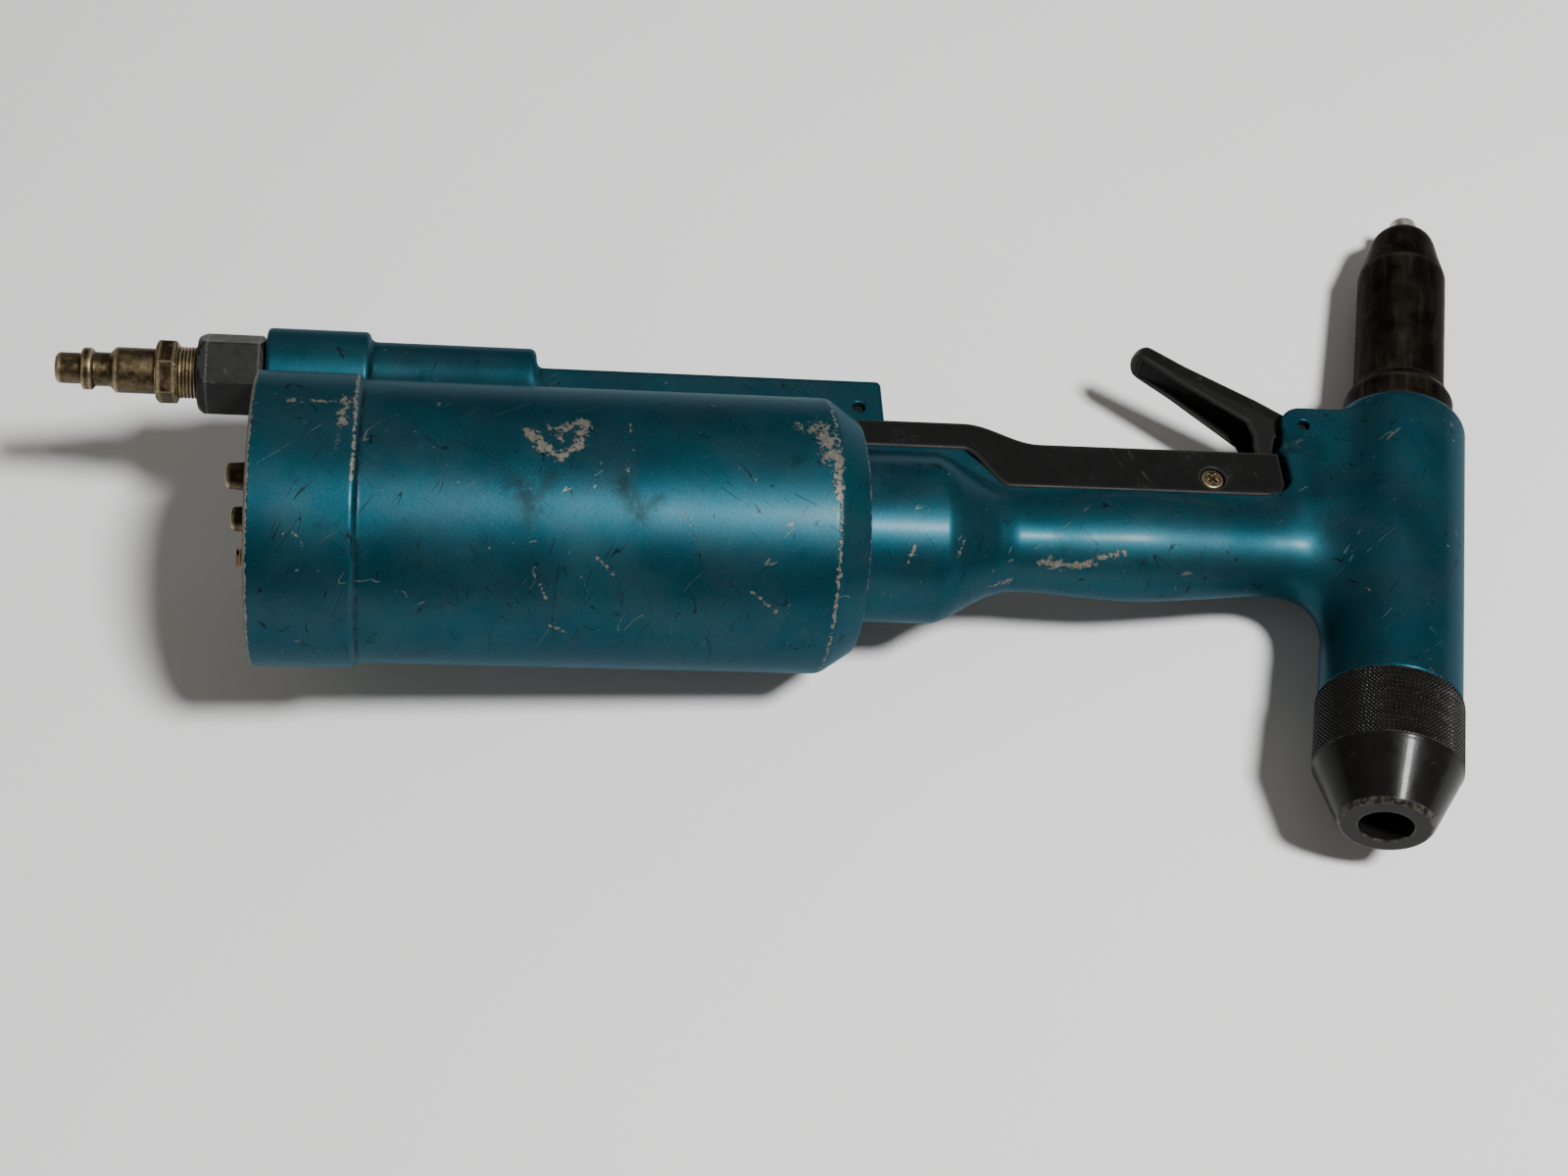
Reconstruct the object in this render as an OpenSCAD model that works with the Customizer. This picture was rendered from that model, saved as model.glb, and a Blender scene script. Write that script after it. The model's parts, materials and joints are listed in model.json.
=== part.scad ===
// Air-over-oil blind rivet gun, lever operated, lying with its middle plane level.
// Handle frame: x runs along the air cylinder and the grip, from the open end of the cylinder
// to the pulling head, y towards the nose, z out of the middle plane.
// Row frame: the same axes, with the origin at the mandrel hole in the tip of the nosepiece.
// In the pulling head, s is the distance along the head's own axis, positive towards the nose.

/* [Air cylinder] */
// Radius of the skirt at the open end of the cylinder
skirt_r = 36.8; // [35:0.1:39]
// Length of the skirt
skirt_len = 25.8; // [15:0.1:40]
// Radius of the cylinder past the skirt
shell_r = 35.5; // [34:0.1:36]
// Where the front chamfer of the cylinder starts
shell_len = 142.7; // [140:0.1:150]
// Length of the cylinder over its front chamfer
cylinder_len = 151.1; // [150.5:0.1:152]
// Radius of the flat front face, inside the chamfer
front_r = 29.8; // [28:0.1:32]
// Radius of the bore that the air piston runs in
bore_r = 31; // [30:0.1:32]

/* [Valve block] */
// Distance of the inlet axis from the cylinder axis
inlet_y = 45.6; // [44:0.1:47]
// Radius of the inlet boss
boss_r = 12.5; // [12:0.1:13]
// Length of the inlet boss
boss_len = 25; // [20:0.1:30]
// Radius of the valve body behind the boss
valve_body_r = 10; // [9.5:0.1:10.5]
// Where the valve body ends
valve_body_len = 67.5; // [60:0.1:70]
// Distance of the top of the rod bar from the cylinder axis
bar_top = 46.7; // [46:0.1:48]
// Width of the rod bar
bar_w = 16; // [15:0.1:18]
// Where the rod bar ends
bar_len = 161.3; // [160:0.1:163]
// Distance of the valve stem from the cylinder axis
stem_y = 41.5; // [41:0.1:42]

/* [Handle] */
// Radius of the neck next to the cylinder
neck_r = 21.8; // [20:0.1:23]
// Where the neck starts to narrow
neck_end = 172.5; // [170:0.1:175]
// Radius of the throat behind the neck
throat_r = 12.7; // [12:0.1:13.5]
// Place of the throat
throat_x = 191; // [188:0.1:194]
// Radius of the swell of the grip
swell_r = 14.6; // [14:0.1:15.5]
// Place of the swell
swell_x = 226; // [215:0.1:235]
// Radius of the grip next to the head
waist_r = 12.2; // [12:0.1:13]
// Place of the waist next to the head
waist_x = 262; // [255:0.1:265]
// Width of the shoulders that the cover sits on
shoulder_w = 21.6; // [20:0.1:23]

/* [Pulling head] */
// Where the head's axis crosses the axis of the grip
head_x = 298.5; // [296:0.1:301]
// Lean of the head's axis, nose away from the cylinder
head_lean = 13.4; // [8:0.1:15]
// Radius of the barrel
barrel_r = 18.2; // [17.5:0.1:19]
// Nose end of the barrel, along its axis
barrel_front = 44.2; // [43:0.1:46]
// Length of the barrel behind the grip's axis
barrel_back = 49.1; // [47:0.1:51]
// Radius of the bore that the pulling piston runs in
pull_bore_r = 14; // [13:0.1:14.5]

/* [Nose] */
// Radius of the nose housing
housing_r = 12.4; // [12:0.1:13]
// Where the nose housing starts to taper, along the head's axis
taper_s = 101; // [99:0.1:104]
// Tip of the nosepiece, along the head's axis
tip_s = 124.5; // [123:0.1:127]
// Radius of the mandrel hole in the nosepiece
mandrel_r = 1.75; // [1.6:0.05:1.8]

/* [End cap] */
// Radius of the knurled sleeve
cap_r = 18.8; // [18.3:0.1:19.5]
// Length of the knurled sleeve
sleeve_len = 20; // [18:0.1:22]
// Length of the cone behind the sleeve
cap_cone_len = 16; // [14:0.1:18]
// Radius of the cap's rear face
cap_face_r = 12; // [11:0.1:13]
// Radius of the hole that spent mandrels leave by
ejection_r = 6.8; // [6.2:0.1:7]

/* [Air inlet] */
// Width across the flats of the inlet nut
nut_af = 19; // [18:0.1:20]
// Length of the inlet nut
nut_len = 17; // [15:0.1:18]
// Diameter of the body of the air plug
plug_d = 11.8; // [11.6:0.1:12]
// Length of the air plug in front of the inlet nut
plug_len = 35.8; // [34:0.1:38]

/* [Trigger] */
// Turn of the trigger from released to squeezed, in degrees
trigger_turn = 20; // [10:1:20]
// Thickness of the trigger at its tip
trigger_tip_t = 4.8; // [4:0.1:6]

/* [Travel] */
// Stroke of the pulling piston
pull_stroke = 18; // [10:0.5:18]
// Radius of the ram that presses on the oil
ram_r = 5; // [4.9:0.1:5.2]

/* [Hidden] */

fine = 96;          // facets of the large rounds
mid = 48;           // facets of the small rounds
gap = 0.3;          // room between bodies that move past each other
run = 0.05;         // radial clearance of a shaft in its bore
snug = 0.05;        // radial clearance of pieces that are assembled tight
over = 1;           // how far a cutter runs past the face it cuts
wall = 2;           // wall of the moulded cover

teal = [0.02, 0.30, 0.38];
black = [0.05, 0.05, 0.055];
steel = [0.55, 0.55, 0.56];
dark_steel = [0.16, 0.14, 0.13];
brass = [0.62, 0.47, 0.24];
bronze = [0.55, 0.38, 0.20];
rubber = [0.08, 0.08, 0.08];
alloy = [0.70, 0.71, 0.72];

// head
tip_x = head_x + tip_s * sin(head_lean);
tip_y = tip_s * cos(head_lean);
cap_end = -(barrel_back + sleeve_len + cap_cone_len);
pull_rod_r = 8.5;           // rod of the pulling piston
piston_back = -14;          // pulling piston, released
piston_front = -2;
wall_start = 6;             // narrow bore in the barrel's front wall
seal_land_end = 22;
housing_seat = 34;          // rear end of the nose housing
housing_bore_r = 9.6;
nose_thread_r = 5.5;
jaw_case_r = 9.2;
jaw_case_start = 46;
jaw_case_end = 98.5;
jaw_back = 84;
jaw_front = 98;
pusher_back = 68;
spring_end = -65;           // seat of the return spring in the cap
tube_r = 5.6;
tube_back = -63;
oil_screw_s = 1;

// air piston and ram
pull_area = pull_bore_r ^ 2 - pull_rod_r ^ 2;
air_stroke = pull_stroke * pull_area / ram_r ^ 2;   // the ram's oil fills the pulling cylinder
piston_start = 17;
piston_t = 14;
ram_tip = 164;
oil_r = 6;
oil_end = 274;
gland_r = 10;
spigot_r = 16;
spigot_start = 127;
front_wall = 136;
plate_start = 3;
plate_end = 11;
port_r = 3;
silencer_places = [[5, 10.4], [6.5, -9.5]];
base_screw_place = [-11.5, -0.9];

// valve
bar_round = 3;
inlet_bore_r = 8.5;
valve_bore_r = 5.4;
bush_hole_r = 3.2;
gland_bore_r = 3.2;
plug_thread_r = 6.8;
port_x = 33.5;              // supply drilling
port_lean = 14;
exhaust_x = 46;
stem_r = 2;
nut_turn = -8.5;            // how the two hexagons of the inlet stand
plug_turn = 19.5;
slot_w = 8.6;               // slot for the rocker in the bar

// trigger linkage
ear_w = 20;                 // width over the two ears
fork_w = 13;                // slot between the ears
ear_r = 6.2;
pocket_start = 258;
trigger_x = 276.8;
trigger_y = 35.3;
trigger_w = 12;
trigger_pin_r = 1.5;
link_w = 4;
link_pin_r = 1.5;
arm_x = -10.5;              // the trigger's link pin from the trigger's pivot
arm_y = -12.8;
link_travel = arm_x * (cos(trigger_turn) - 1) - arm_y * sin(trigger_turn);
link_drop = -arm_x * sin(trigger_turn) - arm_y * (cos(trigger_turn) - 1);
rocker_x = 154.6;
rocker_y = 36.9;
rocker_arm = 9;             // pivot to link pin
rocker_w = 7.8;
rocker_turn = asin(link_travel / rocker_arm);
rocker_rise = rocker_arm * (1 - cos(rocker_turn));
rocker_pin_r = 1.5;
rocker_link_pin_r = 1.2;
stem_end = rocker_x - 3.5;

// cover
cover_w = 20;
cover_start = 152;
cover_end = 267.8;
cover_round = 4;
cover_top = 25.3;           // in the grip
cover_low = 10.8;
cover_neck_top = 31.4;
cover_neck_low = 22.6;
cover_screw_r = 1.5;
screw_x = 247.9;
screw_y = 15.9;
rail_w = 15.4;
rail_start = 184;
rail_top = 18.2;

function ease(t) = (1 - cos(180 * t)) / 2;
function blend(a, b, n) = [for (i = [0 : n]) [a[0] + (b[0] - a[0]) * i / n,
    a[1] + (b[1] - a[1]) * ease(i / n)]];
function arc(c, r, from, to, n) = [for (i = [0 : n])
    c + r * [cos(from + (to - from) * i / n), sin(from + (to - from) * i / n)]];

// One closed tube along a helix: a coil spring with its axis on z
module coil(r, wire, len, turns) {
    sides = 8;
    steps = turns * 14;
    pts = [for (i = [0 : steps]) for (k = [0 : sides - 1])
        let (a = 360 * turns * i / steps, b = 360 * k / sides,
            rr = r + wire * cos(b), z = wire + (len - 2 * wire) * i / steps + wire * sin(b))
        [rr * cos(a), rr * sin(a), z]];
    skin = [for (i = [0 : steps - 1]) for (k = [0 : sides - 1])
        [i * sides + k, i * sides + (k + 1) % sides, (i + 1) * sides + (k + 1) % sides,
            (i + 1) * sides + k]];
    first = [for (k = [0 : sides - 1]) sides - 1 - k];
    last = [for (k = [0 : sides - 1]) steps * sides + k];
    polyhedron(pts, concat([first], skin, [last]), convexity = 10);
}

// Places of the handle frame in the row frame
module row() { translate([-tip_x, -tip_y, 0]) children(); }
module at_x(x, y = 0) { translate([x, y, 0]) rotate([0, 90, 0]) children(); }
module at_s(s) {
    translate([head_x, 0, 0]) rotate([0, 0, -head_lean]) rotate([-90, 0, 0]) translate([0, 0, s]) children();
}
// A round body, a ring, a flat plate across the middle plane, and a profile of [place, radius]
module rod(r, from, to, y = 0) { at_x(from, y) cylinder(h = to - from, r = r, $fn = fine); }
module head_rod(r, from, to) { at_s(from) cylinder(h = to - from, r = r, $fn = fine); }
module plate(w) { translate([0, 0, -w / 2]) linear_extrude(w) children(); }
module turned(points) { rotate_extrude($fn = fine) polygon([for (p = points) [p[1], p[0]]]); }
module ring(outer, inner, len) {
    rotate_extrude($fn = fine) translate([inner, 0]) square([outer - inner, len]);
}
module pin(r, x, y, len) { translate([x, y, -len / 2]) cylinder(h = len, r = r, $fn = mid); }
module hexagon(af, h) { cylinder(h = h, d = af / cos(30), $fn = 6); }

// ---- Air cylinder and valve block ----
module air_cylinder() {
    color(teal) row() difference() {
        union() {
            at_x(0) turned([[0, 0], [0, skirt_r - 0.6], [0.6, skirt_r], [skirt_len, skirt_r],
                [skirt_len + 1, shell_r], [shell_len, shell_r], [cylinder_len, front_r], [cylinder_len, 0]]);
            valve_block();
        }
        rod(bore_r, -over, front_wall);
        rod(bore_r + 1.6, 0.9, 2.7);
        rod(spigot_r + snug, front_wall - over, cylinder_len + over);
        rod(inlet_bore_r, -over, 18, inlet_y);
        rod(valve_bore_r, 17, 66, stem_y);
        rod(gland_bore_r, 65, 72, stem_y);
        rod(stem_r + run, 71, 150, stem_y);
        // supply drilling from the valve to the space behind the air piston
        translate([port_x, stem_y - valve_bore_r + 0.5, 0]) rotate([0, -90, port_lean])
            cylinder(h = 23, r = 1.2, $fn = mid);
        // exhaust port
        translate([exhaust_x, bore_r - 2, 0]) rotate([-90, 0, 0]) cylinder(h = 8, r = 2, $fn = mid);
        // slot for the rocker, open at the front and below
        translate([148.2, 31, -slot_w / 2]) cube([bar_len, 13.5, slot_w]);
        pin(rocker_pin_r, rocker_x, rocker_y, bar_w + 2 * over);
    }
}
module valve_block() {
    at_x(0, inlet_y) turned([[0.1, 0], [0.1, boss_r - 0.5], [0.6, boss_r], [boss_len, boss_r],
        [boss_len + 3.2, valve_body_r], [valve_body_len, valve_body_r],
        [valve_body_len + 4.5, 4.5], [valve_body_len + 4.5, 0]]);
    translate([0.4, 27, -9]) cube([boss_len, 20, 18]);
    translate([1.3, 27, -8.5]) cube([valve_body_len - 2, 20, 17]);
    translate([60, 0, 0]) rotate([90, 0, 90]) linear_extrude(bar_len - 60) bar_outline();
}
// Section of the bar over the valve stem, with rounded top edges: across is z, up is y
module bar_outline() {
    low = 32;
    half = bar_w / 2;
    translate([low, -half]) square([bar_top - bar_round - low, bar_w]);
    translate([low, -half + bar_round]) square([bar_top - low, bar_w - 2 * bar_round]);
    for (side = [-1, 1])
        translate([bar_top - bar_round, side * (half - bar_round)]) circle(bar_round, $fn = mid);
}

module base_plate() {
    color(alloy) row() difference() {
        rod(bore_r - snug, plate_start, plate_end);
        at_x(plate_start + 3) ring(bore_r + over, bore_r - 2.4, 2.8);
        for (p = silencer_places) translate([0, 0, p[1]])
            rod(port_r, plate_start - over, plate_end + over, p[0]);
        translate([0, 0, base_screw_place[1]])
            rod(port_r, plate_start - over, plate_end + over, base_screw_place[0]);
    }
}
module base_seal() {
    color(rubber) row() at_x(plate_start + 3.2) ring(bore_r - 0.02, bore_r - 2.3, 2.4);
}
module retaining_ring() {
    color(steel) row() at_x(1) rotate_extrude(angle = 330, $fn = fine)
        translate([bore_r - 2, 0]) square([3.5, 1.6]);
}
// Sintered exhaust silencers in the base plate
module silencers() {
    color(brass) row() for (p = silencer_places) translate([0, 0, p[1]]) {
        rod(port_r - snug, plate_start - over, plate_end - over, p[0]);
        at_x(0.5, p[0]) hexagon(7.6, plate_start - 0.55);
        at_x(-6.6, p[0]) turned([[0, 0], [0, 2.8], [0.5, 3.2], [7.2, 3.8], [7.2, 0]]);
    }
}
module base_screw() {
    color(brass) row() translate([0, 0, base_screw_place[1]]) {
        rod(port_r - snug, plate_start - over, plate_end - over, base_screw_place[0]);
        at_x(-3.4, base_screw_place[0]) turned([[0, 0], [0, 3], [0.6, 3.6], [6.4, 3.6], [6.4, 0]]);
    }
}

// ---- Handle, one casting with the barrel of the head ----
module handle() {
    color(teal) row() difference() {
        union() {
            at_x(0) turned(concat([[spigot_start, 0], [spigot_start, spigot_r],
                [cylinder_len + snug, spigot_r], [cylinder_len + snug, neck_r]],
                blend([neck_end, neck_r], [throat_x, throat_r], 10),
                blend([throat_x, throat_r], [swell_x, swell_r], 8),
                blend([swell_x, swell_r], [waist_x, waist_r], 8),
                blend([waist_x, waist_r], [head_x - 6, 16.5], 8), [[head_x - 6, 0]]));
            plate(shoulder_w) shoulder_outline();
            plate(rail_w) translate([rail_start, 0]) square([cover_end + over - rail_start, rail_top]);
            plate(ear_w) ear_outline();
            for (layer = [[18, 7], [14, 10], [8, 13]]) plate(layer[0]) web_outline(layer[1]);
            barrel();
        }
        rod(gland_r, spigot_start - over, 148);
        rod(oil_r, 147, oil_end);
        // slanted port from the oil bore to the front of the pulling piston
        translate([266, -0.3, 0]) rotate([0, 90, 18]) cylinder(h = 22, r = 2, $fn = mid);
        head_rod(pull_bore_r, -barrel_back - over, wall_start);
        head_rod(pull_rod_r + run, wall_start - over, seal_land_end + over);
        head_rod(11.5, 10, 14.2);
        head_rod(jaw_case_r + 0.4, seal_land_end, housing_seat + over);
        head_rod(11, housing_seat, barrel_front + over);
        // pocket for the trigger's arm and the link, between the ears
        translate([pocket_start, 15.5, -fork_w / 2]) cube([21, 40, fork_w]);
        translate([pocket_start, 26, -fork_w / 2]) cube([25.5, 40, fork_w]);
        pin(trigger_pin_r, trigger_x, trigger_y, ear_w + 2 * over);
        // flat seat under the cover's walls, where the grip swells
        for (side = [0, 1]) mirror([0, 0, side]) {
            translate([200, cover_low - gap, rail_w / 2]) cube([50, 6, 5]);
            translate([screw_x, screw_y, 2]) cylinder(h = 8, r = cover_screw_r, $fn = mid);
        }
        at_s(oil_screw_s) rotate([-90, 0, 0]) translate([0, 0, pull_bore_r - over])
            cylinder(h = 8, r = 3, $fn = mid);
    }
}
module barrel() {
    at_s(0) turned(concat([[-barrel_back, 0], [-barrel_back, barrel_r]],
        [for (p = arc([barrel_front - 3.4, barrel_r - 3.4], 3.4, 90, 0, 6)) p], [[barrel_front, 0]]));
}
// Seat of the cover: shoulders beside it and a wall past its rounded end
module shoulder_outline() {
    polygon(concat([[cylinder_len + snug, 0], [cylinder_len + snug, cover_neck_low - gap]],
        blend([180.2, cover_neck_low - gap], [192.2, cover_low - gap], 8),
        arc([cover_end - cover_round, cover_low + cover_round], cover_round + gap, -90, 0, 6),
        [[cover_end + gap, 30], [287, 30], [287, 0]]));
}
module ear_outline() {
    translate([cover_end + gap, 12]) square([22, 19]);
    translate([trigger_x - ear_r, 20]) square([20, trigger_y - 20]);
    translate([trigger_x, 30]) square([15, trigger_y + ear_r - 30]);
    translate([trigger_x, trigger_y]) circle(ear_r, $fn = mid);
}
// Web with a hollow of radius r in the corner between the grip and the back of the barrel
module web_outline(r) {
    c = [head_x - barrel_r / cos(head_lean) - (waist_r + r) * tan(head_lean) - r / cos(head_lean),
        -waist_r - r];
    difference() {
        polygon([[c[0], 0], [c[0] + 2 * r, 0], [c[0] + r + 6, c[1]], c]);
        translate(c) circle(r, $fn = mid);
    }
}
module handle_nut() {
    color(steel) row() difference() {
        at_x(spigot_start + 1) ring(22, spigot_r + snug, front_wall - spigot_start - 1 - snug);
        for (turn = [0 : 90 : 270]) rotate([turn, 0, 0])
            translate([spigot_start, 19, -2]) cube([5, 8, 4]);
    }
}
module piston_bumper() {
    color(rubber) row() at_x(121.2) ring(14, 7, spigot_start - 121.2 - snug);
}
module ram_gland() {
    color(bronze) row() at_x(spigot_start + 0.1) ring(gland_r - snug, ram_r + run, 14.8);
}
module ram_seal() {
    color(rubber) row() at_x(142) ring(gland_r - snug, ram_r + 0.02, 5.8);
}
module oil_screw() {
    color(steel) row() at_s(oil_screw_s) rotate([-90, 0, 0]) {
        translate([0, 0, pull_bore_r + 0.3]) cylinder(h = 5, r = 2.95, $fn = mid);
        translate([0, 0, barrel_r + snug]) difference() {
            cylinder(h = 2.4, r = 4.5, $fn = mid);
            translate([0, 0, 0.9]) hexagon(4, 3);
        }
    }
}

// ---- Air piston and ram ----
module air_piston() {
    color(alloy) row() difference() {
        rod(bore_r - gap, piston_start, piston_start + piston_t);
        at_x(piston_start + 3.8) ring(bore_r + over, 27.5, 5.4);
        rod(4, piston_start - over, piston_start + piston_t + over);
    }
}
module piston_seal() {
    color(rubber) row() at_x(piston_start + 4) ring(bore_r - run, 27.6, 5);
}
module ram_rod() {
    color(steel) row() {
        rod(4 - snug, piston_start - 4.6, piston_start + piston_t + 0.5);
        rod(ram_r, piston_start + piston_t + snug, ram_tip);
    }
}
module ram_nut() {
    color(steel) row() difference() {
        at_x(piston_start - 4.5) hexagon(13, 4.4);
        rod(4, 0, piston_start + over);
    }
}

// ---- Pulling head ----
module end_cap() {
    cone_start = -barrel_back - sleeve_len;
    color(black) row() difference() {
        at_s(0) turned([[cap_end, 0], [cap_end, cap_face_r - 1], [cap_end + 0.8, cap_face_r],
            [cone_start, cap_r], [-barrel_back - snug, cap_r], [-barrel_back - snug, pull_bore_r - snug],
            [-40, pull_bore_r - snug], [-40, 0]]);
        head_rod(12.8, spring_end - 0.1, -40 + over);
        head_rod(ejection_r, cap_end - over, spring_end);
        at_s(-barrel_back - 1.9) ring(16.8, 14.8, 2.4);
    }
}
module cap_seal() {
    color(rubber) row() at_s(-barrel_back - 1.8) ring(16.7, 14.9, 1.7);
}
module return_spring() {
    color(steel) row() at_s(spring_end + 0.1) coil(11.1, 1.1, piston_back - spring_end - 0.2, 8);
}
module rod_seal() {
    color(rubber) row() at_s(10.1) ring(11.4, pull_rod_r + 0.02, 4);
}
module nose_collar() {
    color(dark_steel) row() difference() {
        at_s(0) turned([[barrel_front + snug, 0], [barrel_front + snug, 14.2], [45, 14.9], [53, 14.9],
            [56.8, 12.8], [56.8, 0]]);
        head_rod(housing_r + snug, barrel_front - over, 58);
    }
}
module nose_housing() {
    color(dark_steel) row() difference() {
        at_s(0) turned([[housing_seat + 0.1, 0], [housing_seat + 0.1, 10.9], [barrel_front, 10.9],
            [barrel_front + 0.1, housing_r], [taper_s, housing_r], [tip_s - 9.5, 9], [tip_s - 7.9, 8.1],
            [tip_s - 6.3, 6.5], [tip_s - 4.9, 5.1], [tip_s - 4.1, 4.4], [tip_s - 4.1, 0]]);
        head_rod(housing_bore_r, housing_seat - over, jaw_case_end + 1.5);
        head_rod(nose_thread_r, jaw_case_end, tip_s - 8);
        head_rod(3.95, tip_s - 9, tip_s);
    }
}
module nosepiece() {
    color(steel) row() difference() {
        at_s(0) turned([[jaw_case_end + 0.8, 0], [jaw_case_end + 0.8, 2.6],
            [jaw_case_end + 2, nose_thread_r - snug], [tip_s - 8.1, nose_thread_r - snug],
            [tip_s - 8.1, 3.9], [tip_s - 0.5, 3.9], [tip_s, 3.4], [tip_s, 0]]);
        head_rod(mandrel_r, jaw_case_end, tip_s + over);
    }
}
module pull_piston() {
    color(steel) row() difference() {
        at_s(0) turned([[piston_back, 0], [piston_back, pull_bore_r - run],
            [piston_front, pull_bore_r - run], [piston_front, pull_rod_r],
            [jaw_case_start, pull_rod_r], [jaw_case_start, 6.9], [56, 6.9], [56, 0]]);
        at_s(piston_back + 3.9) ring(pull_bore_r + over, 11.5, 4.4);
        head_rod(3.5, piston_back - over, 57);
        head_rod(tube_r, piston_back - over, piston_back + 7);
    }
}
module pull_seal() {
    color(rubber) row() at_s(piston_back + 4.1) ring(pull_bore_r - run, 11.6, 4);
}
module ejection_tube() {
    color(steel) row() at_s(tube_back) ring(tube_r - snug, 4.7, piston_back + 6.9 - tube_back);
}
module jaw_case() {
    color(steel) row() difference() {
        head_rod(jaw_case_r, jaw_case_start + snug, jaw_case_end);
        head_rod(6.95, jaw_case_start - over, 57);
        head_rod(8, 56, jaw_back);
        at_s(0) turned([[jaw_back - 0.01, 0], [jaw_back - 0.01, 8], [jaw_case_end + 0.1, 5.2],
            [jaw_case_end + 0.1, 0]]);
    }
}
// Three jaws that a cone closes on the mandrel
module jaws() {
    color(steel) row() at_s(jaw_back + 0.2) for (turn = [0, 120, 240]) rotate([0, 0, turn])
        rotate_extrude(angle = 112, $fn = fine)
            polygon([[mandrel_r + 0.2, 0], [7.7, 0], [5.15, jaw_front - jaw_back - 0.4],
                [mandrel_r + 0.2, jaw_front - jaw_back - 0.4]]);
}
module jaw_pusher() {
    color(steel) row() at_s(0) rotate_extrude($fn = fine)
        polygon([[2.4, pusher_back], [5, pusher_back], [5, 80], [7.5, 80], [7.5, jaw_back], [2.4, jaw_back]]);
}
module jaw_spring() {
    color(steel) row() at_s(56.1) coil(6.4, 0.7, 23.8, 6);
}

// ---- Air inlet and valve ----
module inlet_nut() {
    color(black) row() difference() {
        union() {
            at_x(-nut_len, inlet_y) intersection() {
                rotate([0, 0, nut_turn]) hexagon(nut_af, nut_len);
                turned([[0, 0], [0, nut_af / 2], [1.4, nut_af * 0.58], [nut_len - 1.4, nut_af * 0.58],
                    [nut_len, nut_af / 2], [nut_len, 0]]);
            }
            rod(inlet_bore_r - snug, -over, 10, inlet_y);
        }
        rod(plug_thread_r + snug, -nut_len - over, -5, inlet_y);
        rod(2.4, -6, 10 + over, inlet_y);
    }
}
// Quick-connect air plug; from the tip: nose, locking ring, groove, body, hexagon, thread
module air_plug() {
    tip = -nut_len - plug_len;
    hex_end = -nut_len - 5;
    body_end = hex_end - 5.6;
    color(brass) row() difference() {
        union() {
            at_x(0, inlet_y) turned([[tip, 0], [tip, 3.3], [tip + 0.8, 4], [tip + 6.2, 4],
                [tip + 6.8, 5.4], [tip + 9, 5.4], [tip + 9.8, 4.4], [tip + 13.6, 4.4],
                [tip + 15, plug_d / 2], [body_end + 0.1, plug_d / 2], [body_end + 0.1, 5], [hex_end, 5],
                [hex_end, plug_thread_r], [-5.2, plug_thread_r], [-5.2, 0]]);
            at_x(body_end, inlet_y) rotate([0, 0, plug_turn]) hexagon(14.3, 5.6);
        }
        rod(2.6, tip - over, 0, inlet_y);
    }
}
module valve_bush() {
    color(brass) row() difference() {
        rod(valve_bore_r - snug, 30, 64, stem_y);
        rod(bush_hole_r, 29, 65, stem_y);
        // groove that lets the cylinder exhaust past the seal while the stem is at rest
        rod(bush_hole_r + 0.7, 36, 40, stem_y);
        for (x = [port_x, exhaust_x]) translate([x, stem_y, 0]) rotate([90, 0, 0])
            cylinder(h = 8, r = 1.6, $fn = mid);
    }
}
module valve_seat() {
    color(rubber) row() difference() {
        rod(valve_bore_r - snug, 24.05, 29.9, stem_y);
        rod(2.8, 23, 31, stem_y);
    }
}
module valve_spring() {
    color(steel) row() at_x(10.1, stem_y) coil(3.2, 0.5, 8.8, 4);
}
module valve_stem() {
    color(steel) row() {
        rod(4.4, 19, 24, stem_y);
        rod(stem_r, 23, stem_end, stem_y);
    }
}
module valve_seals() {
    color(rubber) row() for (x = [37, 51]) at_x(x, stem_y) ring(bush_hole_r - run, stem_r + 0.02, 1.8);
}
module stem_gland() {
    color(brass) row() at_x(65.2, stem_y) ring(gland_bore_r - snug, stem_r + run, 6.6);
}

// ---- Cover and trigger linkage ----
module cover_outline() {
    polygon(concat([[cover_start, cover_neck_low], [cover_start, cover_neck_top]],
        blend([182, cover_neck_top], [202, cover_top], 10), [[cover_end, cover_top]],
        arc([cover_end - cover_round, cover_low + cover_round], cover_round, 0, -90, 6),
        blend([192.5, cover_low], [180.5, cover_neck_low], 8)));
}
// Inside of the channel, open at both ends and towards the grip
module channel_outline() {
    polygon(concat([[cover_start - over, 0], [cover_start - over, cover_neck_top - wall]],
        blend([181.4, cover_neck_top - wall], [201.4, cover_top - wall], 10),
        [[cover_end + over, cover_top - wall], [cover_end + over, 0]]));
}
module cover() {
    color(black) row() difference() {
        plate(cover_w) cover_outline();
        plate(cover_w - 2 * wall) channel_outline();
        // openings over the rocker and the trigger's arm
        translate([cover_start - over, 28, -slot_w / 2]) cube([12.5, 8, slot_w]);
        translate([256, 20, -fork_w / 2]) cube([20, 10, fork_w]);
        for (side = [0, 1]) mirror([0, 0, side]) translate([screw_x, screw_y, 0]) {
            cylinder(h = cover_w, r = cover_screw_r + 0.2, $fn = mid);
            translate([0, 0, cover_w / 2 - 1.1]) cylinder(h = 3, r = 3.3, $fn = mid);
        }
    }
}
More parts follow.
